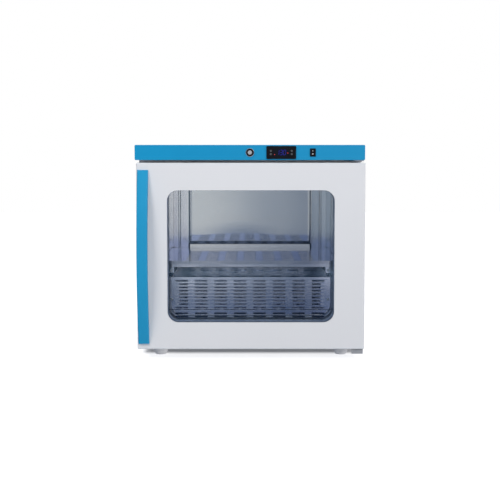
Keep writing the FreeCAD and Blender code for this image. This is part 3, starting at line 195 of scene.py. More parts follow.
def bump(tree, height, strength, kind):
    inputs = {"Height": height, "Strength": strength, "Distance": bumpDepths[kind]}
    return addNode(tree, "Bump", inputs).outputs["Normal"]


# Finishes

markSizes = {"paint": 9.0, "steel": 11.0, "mould": 30.0, "glass": 6.0}
bumpDepths = {"paint": 0.05 * mm, "steel": 0.03 * mm, "mould": 0.04 * mm, "wool": 2 * mm, "oxide": 0.05 * mm}
paintBlur, mouldBlur = 0.08, 0.1


def paintFinish(name, settings):
    material, tree, shader, place = startMaterial(name)
    drift = useEffect(tree, "drift", place, Size=settings["driftSize"])["Mask"]
    peel = useEffect(tree, "peel", place, Size=settings["peelSize"])["Height"]
    feed(tree, shader, {
        "Base Color": blendColours(tree, drift, settings["light"], settings["dark"]),
        "Roughness": handled(tree, place, "paint", settings["gloss"], paintBlur),
        "Normal": bump(tree, peel, settings["peel"], "paint"),
        "Specular IOR Level": settings["specular"],
    })
    return material


def steelFinish(name, settings):
    material, tree, shader, place = startMaterial(name)
    grain = useEffect(tree, "grain", place, Size=settings["grainSize"], Stretch=settings["stretch"])
    drift = useEffect(tree, "drift", place, Size=5.0)["Mask"]
    normal = bump(tree, grain["Height"], settings["bump"], "steel")
    if "bulge" in settings:
        normal = oilCanning(tree, place, settings["bulge"], normal)
    tone = blendColours(tree, drift, settings["light"], settings["dark"])
    streaked = blendColours(tree, grain["Streak"], tone, settings["streak"])
    base = blendColours(tree, settings["streakAmount"], tone, streaked)
    # painted shade: a darker tone below a level, where one is given
    if "floorShade" in settings:
        base = toneBefore(tree, place, "Z", base, settings["floorShade"])
    feed(tree, shader, {
        "Base Color": base,
        "Metallic": settings.get("metal", 1.0),
        "Roughness": handled(tree, place, "steel", settings["rough"], settings["blur"]),
        "Normal": normal,
    })
    return material


def oilCanning(tree, place, bulge, normal):
    # the shallow swell of a thin panel that isn't quite flat
    spot = addNode(tree, "VectorMath", {0: place, 1: bulge["centre"]}, operation="DISTANCE")
    inputs = {"Value": spot.outputs["Value"], "From Min": bulge["radius"], "From Max": 0.0}
    swell = addNode(tree, "MapRange", inputs, interpolation_type="SMOOTHSTEP").outputs["Result"]
    inputs = {"Height": swell, "Distance": bulge["height"], "Normal": normal}
    return addNode(tree, "Bump", inputs).outputs["Normal"]


def mouldedFinish(name, settings):
    material, tree, shader, place = startMaterial(name)
    drift = useEffect(tree, "drift", place, Size=settings.get("driftSize", 20.0))["Mask"]
    grain = useEffect(tree, "mould", place, Size=settings["grainSize"])["Height"]
    base = blendColours(tree, drift, settings["light"], settings["dark"])
    # painted shade on the window reveal, in front of a level, where one is given
    if "shadedReveal" in settings:
        base = toneBefore(tree, place, "Y", base, settings["shadedReveal"])
    feed(tree, shader, {
        "Base Color": base,
        "Roughness": handled(tree, place, "mould", settings["gloss"], mouldBlur),
        "Normal": bump(tree, grain, settings["grain"], "mould"),
        "Specular IOR Level": settings.get("specular", 0.5),
    })
    return material


def toneBefore(tree, place, axis, base, zone):
    # another tone up to a level along an axis
    along = addNode(tree, "SeparateXYZ", {"Vector": place}).outputs[axis]
    reach = spread(tree, along, zone["level"], zone["level"] + zone["fade"])
    return blendColours(tree, reach, zone["tone"], base)


def woolFinish(name, settings):
    material, tree, shader, place = startMaterial(name)
    pulled = addNode(tree, "Mapping", {"Vector": place, "Scale": (1.0, 1.0, 5.0)}).outputs["Vector"]
    strands = noise(tree, pulled, settings["fibre"], detail=6.0, rough=0.7)
    clumps = useEffect(tree, "drift", place, Size=40.0)["Mask"]
    fibres = blendColours(tree, strands, settings["light"], settings["dark"])
    base = blendColours(tree, clumps, fibres, settings["dark"], "MULTIPLY")
    # painted shade on the window reveal, in front of a level, where one is given
    if "shadedReveal" in settings:
        base = toneBefore(tree, place, "Y", base, settings["shadedReveal"])
    feed(tree, shader, {
        "Base Color": base,
        "Roughness": 0.95,
        "Normal": bump(tree, strands, 0.8, "wool"),
    })
    return material


def glassFinish(name, settings):
    # clear pane: shadow and scattered rays pass, so the room's light reaches the chamber
    material, tree, shader, place = startMaterial(name)
    feed(tree, shader, {
        "Base Color": settings["tint"],
        "Roughness": handled(tree, place, "glass", 0.0, settings["smear"]),
        "IOR": settings["ior"],
        "Transmission Weight": 1.0,
        "Specular Tint": settings["reflection"],
    })
    clear = addNode(tree, "BsdfTransparent", {"Color": settings["shadowTint"]})
    rays = tree.nodes.new("ShaderNodeLightPath").outputs
    passing = calculate(tree, "MAXIMUM", rays["Is Shadow Ray"], rays["Is Diffuse Ray"])
    mixShaders(tree, passing, shader, clear, tree.nodes["Material Output"])
    return material


def heaterFinish(name):
    # oxide colours in slow bands along the tube
    material, tree, shader, place = startMaterial(name)
    bands = noise(tree, place, scale=12.0)
    oxide = spread(tree, bands, low=0.35, high=0.65)
    grain = useEffect(tree, "mould", place, Size=900.0)["Height"]
    feed(tree, shader, {
        "Base Color": blendColours(tree, oxide, (0.23, 0.18, 0.13), (0.16, 0.17, 0.22)),
        "Metallic": 1.0,
        "Roughness": spread(tree, bands, low=0.3, high=0.7, toLow=0.38, toHigh=0.55),
        "Normal": bump(tree, grain, 0.2, "oxide"),
    })
    return material


def lampFinish(name, light, glow):
    # a lit segment with a fine grain in its tone
    material, tree, shader, place = startMaterial(name)
    flicker = noise(tree, place, scale=900.0, detail=1.0)
    red, green, blue = light
    feed(tree, shader, {
        "Base Color": blendColours(tree, flicker, light, (red * 0.8, green * 0.8, blue * 0.8)),
        "Roughness": 0.4,
        "Emission Color": blendColours(tree, flicker, light, (red * 0.9, green * 0.9, blue)),
        "Emission Strength": glow,
    })
    return material


whiteCoat = {"light": (0.80, 0.81, 0.825), "dark": (0.78, 0.79, 0.805), "driftSize": 3.0,
             "gloss": 0.34, "peelSize": 420.0, "peel": 0.12, "specular": 0.45}
blueCoat = {"light": (0.008, 0.31, 0.59), "dark": (0.006, 0.29, 0.56), "driftSize": 4.0,
            "gloss": 0.36, "peelSize": 460.0, "peel": 0.14, "specular": 0.22}
brightSheet = {"light": (0.85, 0.86, 0.875), "dark": (0.82, 0.83, 0.845),
               "streak": (0.88, 0.885, 0.895), "streakAmount": 0.2, "grainSize": 60.0,
               "stretch": (1.0, 12.0, 12.0), "rough": 0.07, "blur": 0.05, "bump": 0.02}
zincSheet = {"light": (0.60, 0.61, 0.62), "dark": (0.48, 0.49, 0.50),
             "streak": (0.70, 0.70, 0.68), "streakAmount": 0.5, "grainSize": 90.0,
             "stretch": (3.0, 3.0, 3.0), "rough": 0.34, "blur": 0.14, "bump": 0.25, "metal": 0.7}
whiteMould = {"light": (0.80, 0.82, 0.84), "dark": (0.76, 0.785, 0.805), "gloss": 0.42,
              "grainSize": 1500.0, "grain": 0.10}
blueMould = {"light": (0.018, 0.33, 0.60), "dark": (0.014, 0.31, 0.57), "gloss": 0.34,
             "grainSize": 1200.0, "grain": 0.08, "driftSize": 9.0, "specular": 0.25}
blackMould = {"light": (0.005, 0.005, 0.007), "dark": (0.009, 0.009, 0.011), "gloss": 0.42,
              "grainSize": 1600.0, "grain": 0.25, "specular": 0.12}
keyMould = {"light": (0.09, 0.095, 0.105), "dark": (0.07, 0.075, 0.085), "gloss": 0.5,
            "grainSize": 2200.0, "grain": 0.2}
footMould = {"light": (0.88, 0.87, 0.86), "dark": (0.83, 0.82, 0.81), "gloss": 0.55,
             "grainSize": 1300.0, "grain": 0.25}
bushMould = {"light": (0.74, 0.73, 0.67), "dark": (0.66, 0.65, 0.60), "gloss": 0.45,
             "grainSize": 1500.0, "grain": 0.12}
vinylMould = {"light": (0.52, 0.53, 0.55), "dark": (0.46, 0.47, 0.49), "gloss": 0.5,
              "grainSize": 900.0, "grain": 0.3}
paneGlass = {"tint": (0.93, 0.95, 0.965), "smear": 0.02, "ior": 1.42,
             "reflection": (0.5, 0.75, 1.0), "shadowTint": (0.86, 0.9, 0.93)}
chromeTurned = dict(brightSheet, light=(0.80, 0.81, 0.83), dark=(0.72, 0.73, 0.75), rough=0.08,
                    stretch=(2.0, 14.0, 2.0), bump=0.05)
brassTurned = dict(brightSheet, light=(0.72, 0.53, 0.22), dark=(0.60, 0.42, 0.16),
                   streak=(0.80, 0.62, 0.30), rough=0.22, stretch=(2.0, 14.0, 2.0))
spacerEdge = {"light": (0.105, 0.125, 0.165), "dark": (0.085, 0.10, 0.135), "gloss": 0.6,
              "grainSize": 900.0, "grain": 0.2, "specular": 0.2}
sensorCan = dict(zincSheet, rough=0.28, stretch=(2.0, 2.0, 6.0))
smokedWindow = {"light": (0.006, 0.008, 0.013), "dark": (0.009, 0.011, 0.017), "gloss": 0.12,
                "grainSize": 2400.0, "grain": 0.03, "specular": 0.1}

# painted shade: a dark blue-grey tone round the window opening, in front of a level
revealShade = {"tone": (0.32, 0.36, 0.48), "fade": 0.3 * mm}
frameRevealShade = dict(revealShade, level=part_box("door_inner_frame")[1].y - 2.0 * mm)
foamRevealShade = dict(revealShade, level=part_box("glass_inner")[1].y + 0.6 * mm)
caseWool = {"light": (0.66, 0.58, 0.36), "dark": (0.42, 0.36, 0.2), "fibre": 300.0}
doorWool = {"light": (0.80, 0.74, 0.52), "dark": (0.66, 0.6, 0.4), "fibre": 500.0,
            "shadedReveal": foamRevealShade}

finishes = {
    "white_paint": paintFinish("whitePaint", whiteCoat),
    "blue_paint": paintFinish("bluePaint", blueCoat),
    "blue_plastic": mouldedFinish("blueMoulding", blueMould),
    "stainless": steelFinish("brightStainless", brightSheet),
    "zinc_steel": steelFinish("zincSteel", zincSheet),
    "mineral_wool": woolFinish("mineralWool", caseWool),
    "door_core": woolFinish("doorCore", doorWool),
    "white_plastic": mouldedFinish("whiteMoulding", whiteMould),
    "black_plastic": mouldedFinish("blackMoulding", blackMould),
    "display_window": mouldedFinish("smokedWindow", smokedWindow),
    "key_caps": mouldedFinish("keyCaps", keyMould),
    "foot_plastic": mouldedFinish("footMoulding", footMould),
    "bush_nylon": mouldedFinish("bushNylon", bushMould),
    "gasket_vinyl": mouldedFinish("gasketVinyl", vinylMould),
    "window_glass": glassFinish("paneGlass", paneGlass),
    "spacer_bar": mouldedFinish("spacerBar", spacerEdge),
    "lock_chrome": steelFinish("lockChrome", chromeTurned),
    "brass": steelFinish("turnedBrass", brassTurned),
    "heater_sheath": heaterFinish("heaterSheath"),
    "sensor_metal": steelFinish("sensorCan", sensorCan),
}
digitGlow = lampFinish("digitGlow", (0.004, 0.004, 0.20), 0.5)
redGlow = lampFinish("redGlow", (0.9, 0.04, 0.03), 1.0)
whiteMark = mouldedFinish("whiteMark", whiteMould)

# the sheets inside the chamber
linerSwell = {"centre": (-0.031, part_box("liner")[1].y, 0.371), "radius": 0.14, "height": 0.00055}
linerSheet = dict(brightSheet, rough=0.03, blur=0.03, bulge=linerSwell)
linerSteel = steelFinish("linerStainless", linerSheet)
ductSheet = dict(brightSheet, rough=0.10, blur=0.03, stretch=(14.0, 14.0, 0.3), grainSize=24.0, bump=0.12,
                 streak=(0.95, 0.95, 0.96), streakAmount=0.6)
ductSteel = steelFinish("ductStainless", ductSheet)
# painted shade on the basket tray's floor, below a level just above it
trayFloorShade = {"level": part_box("basket_tray")[0].z + 1.5 * mm, "fade": 2 * mm,
             "tone": (0.33, 0.345, 0.37)}  # painted shade: the tray floor darker than its walls
trayFinish = steelFinish("trayStainless", dict(brightSheet, rough=0.13, blur=0.04, floorShade=trayFloorShade))
# white moulding with painted shade on its window reveal
innerFrameCoat = mouldedFinish("innerFrameMoulding", dict(whiteMould, shadedReveal=frameRevealShade))
ownFinishes = {"liner": linerSteel, "door_inner_frame": innerFrameCoat}

for part in frame["record"]["subparts"]:
    for holder in nodes[part["node"]].material_slots:
        holder.material = ownFinishes.get(part["node"], finishes[part["material_slot"]])
print("finishes made:", len(bpy.data.materials))


# Shape helpers

weld = 0.002 * mm  # corners this close become one
touching = 0.01 * mm  # points of an outline this close count as one
near = 0.1 * mm
aligned = 0.999  # least cosine between an edge and its axis


def roundEdges(bm, edges, radius, segments=4):
    bmesh.ops.bevel(bm, geom=edges, offset=radius, offset_type="OFFSET", affect="EDGES",
                    segments=segments, profile=0.5, material=-1, clamp_overlap=True)


def edgesAlong(verts, axis):
    # each edge once, in the order of its corners
    edges = dict.fromkeys(edge for vert in verts for edge in vert.link_edges)
    return [edge for edge in edges
            if abs((edge.verts[0].co - edge.verts[1].co).normalized().dot(axis)) > aligned]


def cuboid(bm, low, high):
    size = Vector(high) - Vector(low)
    middle = (Vector(high) + Vector(low)) / 2
    place = Matrix.Translation(middle) @ Matrix.Diagonal((size.x, size.y, size.z, 1.0))
    return bmesh.ops.create_cube(bm, size=1.0, matrix=place)["verts"]


def closePiece(name, bm, body, slot, replaced=(), finish=None, sharp=32):
    bmesh.ops.remove_doubles(bm, verts=bm.verts, dist=weld)
    bmesh.ops.recalc_face_normals(bm, faces=bm.faces)
    mesh = bpy.data.meshes.new(name)
    bm.to_mesh(mesh)
    bm.free()
    mesh.materials.append(finish or finishes[slot])
    mesh.shade_smooth()
    mesh.set_sharp_from_angle(angle=math.radians(sharp))
    piece = bpy.data.objects.new(name, mesh)
    bpy.context.collection.objects.link(piece)
    # broad faces stay flat beside their rounded rims
    flats = piece.modifiers.new("flatNormals", "WEIGHTED_NORMAL")
    flats.keep_sharp = True
    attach(piece, body)
    if replaced:
        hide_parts(*replaced)


def turned(bm, profile, centre, steps, axis=axisY):
    # profile: pairs of radius and distance along the axis, turned right round
    side = axisZ if axis != axisZ else axisX
    ring = [bm.verts.new(centre + side * radius + axis * along) for radius, along in profile]
    links = [bm.edges.new(pair) for pair in zip(ring, ring[1:])]
    bmesh.ops.spin(bm, geom=ring + links, cent=centre, axis=axis, angle=math.tau, steps=steps,
                   use_merge=True)


def loopPoints(middle, width, height, radius, steps):
    # a rounded rectangle, corner by corner, with no point twice in a row
    points = []
    for quarter, (sx, sy) in enumerate(((1, 1), (-1, 1), (-1, -1), (1, -1))):
        for step in range(steps + 1):
            angle = math.pi / 2 * (quarter + step / steps)
            points.append((middle[0] + sx * (width / 2 - radius) + radius * math.cos(angle),
                           middle[1] + sy * (height / 2 - radius) + radius * math.sin(angle), 0.0))
    following = points[1:] + points[:1]
    return [spot for spot, after in zip(points, following) if math.dist(spot, after) > touching]


def punchedSheet(outline, holes, thickness, rim):
    # a flat sheet with round-cornered holes, drawn flat and given its thickness
    curve = bpy.data.curves.new("sheetOutline", "CURVE")
    curve.dimensions = "2D"
    curve.fill_mode = "BOTH"
    curve.extrude = thickness / 2 - rim
    curve.bevel_depth = rim
    curve.bevel_resolution = 1
    curve.offset = -rim
    for middle, width, height, radius, steps in [outline] + holes:
        points = loopPoints(middle, width, height, radius, steps)
        spline = curve.splines.new("POLY")
        spline.points.add(len(points) - 1)
        for spot, place in zip(spline.points, points):
            spot.co = (*place, 1.0)
        spline.use_cyclic_u = True
    holder = bpy.data.objects.new("sheetOutline", curve)
    bpy.context.collection.objects.link(holder)
    graph = bpy.context.evaluated_depsgraph_get()
    mesh = bpy.data.meshes.new_from_object(holder.evaluated_get(graph))
    bpy.data.objects.remove(holder)
    bpy.data.curves.remove(curve)
    return mesh


# Handle

handle = {"end": 6 * mm, "gap": 26 * mm, "pad": 34 * mm, "cuts": 60, "edge": 5 * mm}


def arcDepth(level, half, rise):
    # how far a shallow arc stands off its chord at a level from its middle
    radius = (half ** 2 + rise ** 2) / (2 * rise)
    return math.sqrt(max(radius ** 2 - level ** 2, 0.0)) - (radius - rise)


def makeHandle():
    low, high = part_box("handle_bow")
    half = (high.z - low.z) / 2
    middle = (high.z + low.z) / 2
    reach = doorFront - low.y
    innerHalf = half - handle["pad"]
    bm = bmesh.new()
    cuboid(bm, low, (high.x, doorFront, high.z))
    levels = [low.z + (high.z - low.z) * k / handle["cuts"] for k in range(1, handle["cuts"])]
    for level in sorted(levels + [middle - innerHalf, middle + innerHalf]):
        bmesh.ops.bisect_plane(bm, geom=bm.verts[:] + bm.edges[:] + bm.faces[:],
                               plane_co=(0, 0, level), plane_no=axisZ)
    for vert in bm.verts:
        level = vert.co.z - middle
        if vert.co.y < doorFront - reach / 2:
            vert.co.y = doorFront - handle["end"] - arcDepth(level, half, reach - handle["end"])
        elif abs(level) < innerHalf:
            vert.co.y = doorFront - arcDepth(level, innerHalf, handle["gap"])

    def facesOf(vert):
        # whether a corner lies on the outer face, and whether on the inner one
        inner = doorFront - arcDepth(vert.co.z - middle, innerHalf, handle["gap"])
        return vert.co.y < doorFront - handle["end"] + near, abs(vert.co.y - inner) < near

    outer = []
    for edge in bm.edges:
        (firstOut, firstIn), (lastOut, lastIn) = [facesOf(vert) for vert in edge.verts]
        upward = abs(edge.verts[0].co.x - edge.verts[1].co.x) < near
        if firstOut and lastOut and upward and not (firstIn and lastIn):
            outer.append(edge)
    roundEdges(bm, outer, handle["edge"], segments=5)
    closePiece("bowHandle", bm, "door", "blue_plastic", ("handle_bow",), sharp=40)


makeHandle()


# Slotted sheets

slots = {"length": 35 * mm, "height": 4.5 * mm, "pitchX": 52.5 * mm, "pitchZ": 9.07 * mm,
         "first": 9.7 * mm, "columns": 8, "rim": 0.12 * mm, "corner": 3 * mm}
upright = Matrix.Rotation(math.pi / 2, 4, "X")  # turns a flat drawing up to face the front


def centred(count, pitch):
    return [(index - (count - 1) / 2) * pitch for index in range(count)]


def slotGrid(columns, rows, width, height, steps):
    radius = min(width, height) / 2
    return [((x, y), width, height, radius, steps) for y in rows for x in columns]


def slotRows(top, rows, middleX, stride=1):
    columns = [middleX + x for x in centred(slots["columns"], slots["pitchX"])]
    levels = [top - slots["first"] - stride * row * slots["pitchZ"] for row in range(rows)]
    return slotGrid(columns, levels, slots["length"], slots["height"], steps=4)


def spanOf(low, high, radius=0.0, steps=1):
    # the outline of a flat blank between two corners, for punchedSheet
    middle = ((low[0] + high[0]) / 2, (low[1] + high[1]) / 2)
    return middle, high[0] - low[0], high[1] - low[1], radius, steps


def frontBlank(bm, outline, holes, plane, thickness):
    mesh = punchedSheet(outline, holes, thickness, slots["rim"])
    mesh.transform(Matrix.Translation((0, plane + thickness / 2, 0)) @ upright)
    bm.from_mesh(mesh)


def flatBlank(bm, outline, holes, level, thickness, rim=slots["rim"]):
    mesh = punchedSheet(outline, holes, thickness, rim)
    mesh.transform(Matrix.Translation((0, 0, level - thickness / 2)))
    bm.from_mesh(mesh)


def foldedStrip(bm, low, high, axis, radius):
    roundEdges(bm, edgesAlong(cuboid(bm, low, high), axis), radius, segments=3)


basket = {"sheet": 1.2 * mm, "rows": 9, "floorSlot": 80 * mm, "floorSlotWidth": 9 * mm, "floorRows": 3,
          "rearRows": 2, "rearHeight": 66 * mm, "tab": 30 * mm, "hem": 0.55 * mm}


def makeBasketFront():
    low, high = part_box("basket_front")
    trayLow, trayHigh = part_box("basket_tray")
    sheet = basket["sheet"]
    bm = bmesh.new()
    outline = spanOf((low.x, low.z), (high.x, high.z), slots["corner"], 6)
    frontBlank(bm, outline, slotRows(high.z, basket["rows"], (low.x + high.x) / 2), low.y, sheet)
    foldedStrip(bm, (trayLow.x, low.y + sheet, high.z - sheet), (trayHigh.x, high.y, high.z), axisX,
                basket["hem"])
    closePiece("basketFront", bm, "basket", "stainless", ("basket_front",))


def makeBasketTray():
    low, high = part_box("basket_tray")
    sheet, hem, tab = basket["sheet"], basket["hem"], basket["tab"]
    middle = (low.x + high.x) / 2
    rearTop = low.z + basket["rearHeight"]
    columns = [middle + x for x in centred(slots["columns"], slots["pitchX"])]
    rows = [(low.y + high.y) / 2 + y
            for y in centred(basket["floorRows"], (high.y - low.y) / basket["floorRows"])]
    bm = bmesh.new()
    floorHoles = slotGrid(columns, rows, basket["floorSlotWidth"], basket["floorSlot"], steps=5)
    flatBlank(bm, spanOf((low.x, low.y), (high.x, high.y)), floorHoles, low.z + sheet, sheet)
    rearHoles = slotRows(rearTop, basket["rearRows"], middle, stride=2)
    frontBlank(bm, spanOf((low.x, low.z), (high.x, rearTop)), rearHoles, high.y - sheet, sheet)
    for x in (low.x, high.x - sheet):
        foldedStrip(bm, (x, low.y, low.z), (x + sheet, high.y, high.z), axisY, hem)
    for x in (low.x, high.x - tab):
        foldedStrip(bm, (x, low.y, low.z), (x + tab, low.y + sheet, high.z), axisZ, hem)
    closePiece("basketTray", bm, "basket", "stainless", ("basket_tray",), trayFinish)


shelf = {"sheet": 1.2 * mm, "lip": 16.8 * mm, "lipDepth": 1.8 * mm, "lipFold": 0.85 * mm, "hem": 8 * mm,
         "stop": 10.8 * mm, "stopInset": 50 * mm, "fold": 0.5 * mm, "columns": 7, "rows": 14,
         "slot": 9 * mm, "pitch": 18.14 * mm, "front": 14 * mm, "nose": 1.1 * mm, "rim": 0.45 * mm,
         "lean": 0.055}


def makeShelf():
    low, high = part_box("shelf_panel")
    ductLow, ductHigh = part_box("air_ducts")
    sheet, fold = shelf["sheet"], shelf["fold"]
    level = high.z - shelf["stop"]
    lipLow = level - shelf["lip"]
    middle = (low.x + high.x) / 2
    columns = [middle + x for x in centred(shelf["columns"], slots["pitchX"])]
    rows = [low.y + shelf["front"] + row * shelf["pitch"] + shelf["slot"] / 2 for row in range(shelf["rows"])]
    bm = bmesh.new()
    flatBlank(bm, spanOf((low.x, low.y + shelf["nose"]), (high.x, high.y)),
              slotGrid(columns, rows, slots["length"], shelf["slot"], steps=5), level, sheet, shelf["rim"])
    foldedStrip(bm, (low.x, low.y, lipLow), (high.x, low.y + shelf["lipDepth"], level), axisX,
                shelf["lipFold"])
    foldedStrip(bm, (low.x, low.y, lipLow), (high.x, low.y + shelf["hem"], lipLow + sheet), axisX, fold)
    reach = (ductHigh.x - ductLow.x) / 2 - shelf["stopInset"]
    start = len(bm.verts)
    foldedStrip(bm, (middle - reach, high.y - sheet, level - sheet), (middle + reach, high.y, high.z), axisX,
                fold)
    bm.verts.ensure_lookup_table()
    for vert in bm.verts[start:]:
        vert.co.y -= (high.z - vert.co.z) * shelf["lean"]
    closePiece("shelfPanel", bm, "shelf", "stainless", ("shelf_panel",))


plenum = {"sheet": 1.0 * mm, "rows": 5, "grille": 8, "grillePitch": 13.5 * mm, "fanBore": 56.5 * mm,
          "mouthWidth": 26 * mm, "mouthDepth": 30 * mm, "mouthInset": 18 * mm, "mouthCorner": 3 * mm,
          "corner": 12 * mm, "footFold": 0.2 * mm, "nose": 0.5 * mm}


def makePlenum():
    low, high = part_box("plenum_cover")
    fanLow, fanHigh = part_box("fan_frame")
    ductLow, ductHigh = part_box("air_ducts")
    sheet, corner = plenum["sheet"], plenum["corner"]
    middle = (low.x + high.x) / 2
    bm = bmesh.new()
    outline = spanOf((low.x, low.z + corner), (high.x, high.z))
    frontBlank(bm, outline, slotRows(high.z, plenum["rows"], middle), low.y, sheet)
    foldedStrip(bm, (low.x + corner, low.y, low.z), (high.x - corner, low.y + sheet, low.z + corner), axisX,
                plenum["footFold"])
    radius = plenum["fanBore"] - slots["height"]
    fanY = (fanLow.y + fanHigh.y) / 2
    holes = []
    for y in centred(plenum["grille"], plenum["grillePitch"]):
        reach = math.sqrt(radius ** 2 - y ** 2)
        holes.append(((middle, fanY + y), 2 * reach, 2 * slots["height"], slots["height"], 5))
    aside = (ductHigh.x - ductLow.x - plenum["mouthWidth"] - plenum["mouthInset"]) / 2
    ductY = (ductLow.y + ductHigh.y) / 2
    for x in (middle - aside, middle + aside):
        holes.append(((x, ductY), plenum["mouthWidth"], plenum["mouthDepth"], plenum["mouthCorner"], 4))
    flatBlank(bm, spanOf((low.x, low.y + plenum["nose"]), (high.x, high.y)), holes, high.z, sheet)
    closePiece("plenumCover", bm, "cabinet", "stainless", ("plenum_cover",))


makeBasketFront()
makeBasketTray()
makeShelf()
makePlenum()
print("slotted sheets made")


# Air ducts

duct = {"sheet": 1.2 * mm, "width": 50 * mm, "bend": 9 * mm, "bead": 3 * mm, "beadInset": 18 * mm,
        "steps": 8, "splay": 5.0}


def ductOutline(half, front, back):
    # seen from above, from the side wall round the bead and the bend to the back wall
    slope = math.tan(math.radians(duct["splay"]))
    bead, bend, steps = duct["bead"], duct["bend"], duct["steps"]
    edge = half - duct["width"]
    front += bead
    points = [(half, front)]
    for step in range(steps + 1):
        angle = math.pi * step / steps
        along = half - duct["beadInset"] + bead * math.cos(angle)
        points.append((along, front - bead * math.sin(angle) + (half - along) * slope))
    bendFront = front + (duct["width"] - bend) * slope
    for step in range(steps + 1):
        angle = math.pi / 2 * step / steps
        points.append((edge + bend - bend * math.sin(angle), bendFront + bend * (1 - math.cos(angle))))
    points.append((edge, back))
    return points


def makeDucts():
    low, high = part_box("air_ducts")
    middle = (low.x + high.x) / 2
    places = ductOutline((high.x - low.x) / 2, low.y, high.y)
    bm = bmesh.new()
    for side in (-1, 1):
        part = bmesh.new()
        chain = [part.verts.new((x, y, low.z)) for x, y in places]
        links = [part.edges.new(pair) for pair in zip(chain, chain[1:])]
        grown = bmesh.ops.extrude_edge_only(part, edges=links)["geom"]
        raised = [item for item in grown if isinstance(item, bmesh.types.BMVert)]
        bmesh.ops.translate(part, verts=raised, vec=(0, 0, high.z - low.z))
        bmesh.ops.recalc_face_normals(part, faces=part.faces)
        bmesh.ops.solidify(part, geom=part.faces[:], thickness=duct["sheet"])
        bmesh.ops.scale(part, vec=(side, 1, 1), verts=part.verts)
        bmesh.ops.translate(part, vec=(middle, 0, 0), verts=part.verts)
        if side < 0:
            bmesh.ops.reverse_faces(part, faces=part.faces)
        mesh = bpy.data.meshes.new("ductHalf")
        part.to_mesh(mesh)
        part.free()
        bm.from_mesh(mesh)
    closePiece("airDucts", bm, "cabinet", "stainless", ("air_ducts",), ductSteel)


makeDucts()
print("ducts made")


# Lock

lock = {"ring": 11 * mm, "ringBore": 7.9 * mm, "proud": 2.5 * mm, "barrel": 8 * mm, "barrelBore": 5.6 * mm,
        "face": 10.2 * mm, "faceSunk": 0.7 * mm, "faceBoreSunk": 0.9 * mm, "faceStep": (6 * mm, 0.5 * mm),
        "floor": 0.2 * mm, "round": 0.3 * mm, "rim": 0.8 * mm, "foot": 0.4 * mm, "draft": 0.1 * mm,
        "plug": 5.5 * mm, "plugSheet": 2.4 * mm,
        "tail": 3 * mm, "tailLength": 6 * mm, "keyWidth": 1.4 * mm, "keyHeight": 6.5 * mm}


def makeLock():
    low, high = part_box("lock_body")
    centre = Vector(((low.x + high.x) / 2, doorFront, (low.z + high.z) / 2))
    front, ring, face = -lock["proud"], lock["ring"], lock["face"]
    ringBore, bore, barrel = lock["ringBore"], lock["barrelBore"], lock["barrel"]
    rounding, sunk, floor = lock["round"], lock["faceSunk"], -lock["floor"]
    back = high.y - doorFront
    bm = bmesh.new()
    turned(bm, [(ringBore, 0.0), (ring - rounding, 0.0), (ring, -lock["foot"]),
                (ring - lock["draft"], front + sunk), (ring - lock["rim"], front), (face + rounding, front),
                (face, front + rounding), (face, floor), (ringBore, 0.0)], centre, 64)
    turned(bm, [(bore, back), (barrel, back), (barrel, floor), (bore, floor), (bore, back)], centre, 32)
    closePiece("lockRing", bm, "cabinet", "lock_chrome", ("lock_body",))
    bm = bmesh.new()
    (step, stepSunk), fitted = lock["faceStep"], face - lock["draft"]
    turned(bm, [(bore, -rounding), (bore, front + lock["faceBoreSunk"]), (step, front + stepSunk),
                (fitted, front + sunk), (fitted, -rounding), (bore, -rounding)], centre, 64)
    closePiece("lockFace", bm, "cabinet", "lock_chrome", finish=finishes["black_plastic"])
    return centre


def makeLockPlug(centre):
    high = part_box("lock_plug")[1]
    radius, tail = lock["plug"], lock["tail"]
    shoulder = high.y - centre.y - lock["tailLength"]
    outline = ((centre.x, centre.z), 2 * radius, 2 * radius, radius, 12)
    keyway = ((centre.x, centre.z), lock["keyWidth"], lock["keyHeight"], lock["round"], 2)
    bm = bmesh.new()
    frontBlank(bm, outline, [keyway], centre.y - lock["proud"], lock["plugSheet"])
    turned(bm, [(0.0, shoulder), (radius, shoulder), (radius, 0.0), (0.0, 0.0)], centre, 32)
    cuboid(bm, centre + Vector((-tail, shoulder, -tail)), (centre.x + tail, high.y, centre.z + tail))
    closePiece("lockPlug", bm, "lock_cylinder", "lock_chrome", ("lock_plug",))


makeLockPlug(makeLock())


# Controller and switch

panel = {"thickness": 2.6 * mm, "corner": 2.2 * mm, "web": 0.4 * mm, "backing": 0.55 * mm,
         "bodyInset": (3 * mm, 2.5 * mm), "lensGap": 0.15 * mm, "lensCorner": 1.5 * mm,
         "keyHole": 2.9 * mm, "keyRadius": 2.7 * mm, "keyRound": 0.35 * mm, "dishEdge": 1.2 * mm,
         "dishRim": 0.12 * mm, "dishFloor": 0.2 * mm}
keyNames = ("key_set", "key_down", "key_up", "key_standby")
display = {"height": 12.5 * mm, "width": 5.6 * mm, "pitch": 8.6 * mm, "stroke": 1.3 * mm, "gap": 0.5 * mm,
           "endRound": 0.6 * mm, "slant": 0.1, "proud": 0.05 * mm, "thick": 0.3 * mm, "dot": 0.9 * mm,
           "leftDot": (3.2 * mm, -5.4 * mm), "rightDot": (-3.6 * mm, -1.5 * mm)}
segmentPlaces = {"top": (0, 1, True), "middle": (0, 0, True), "bottom": (0, -1, True),
                 "upperLeft": (-1, 0.5, False), "upperRight": (1, 0.5, False),
                 "lowerLeft": (-1, -0.5, False), "lowerRight": (1, -0.5, False)}
shownDigits = {"1": ("upperRight", "lowerRight"),
               "3": ("top", "middle", "bottom", "upperRight", "lowerRight"),
               "0": ("top", "bottom", "upperLeft", "upperRight", "lowerLeft", "lowerRight")}


def keyCentre(name):
    low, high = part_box(name)
    return Vector(((low.x + high.x) / 2, low.y, (low.z + high.z) / 2))


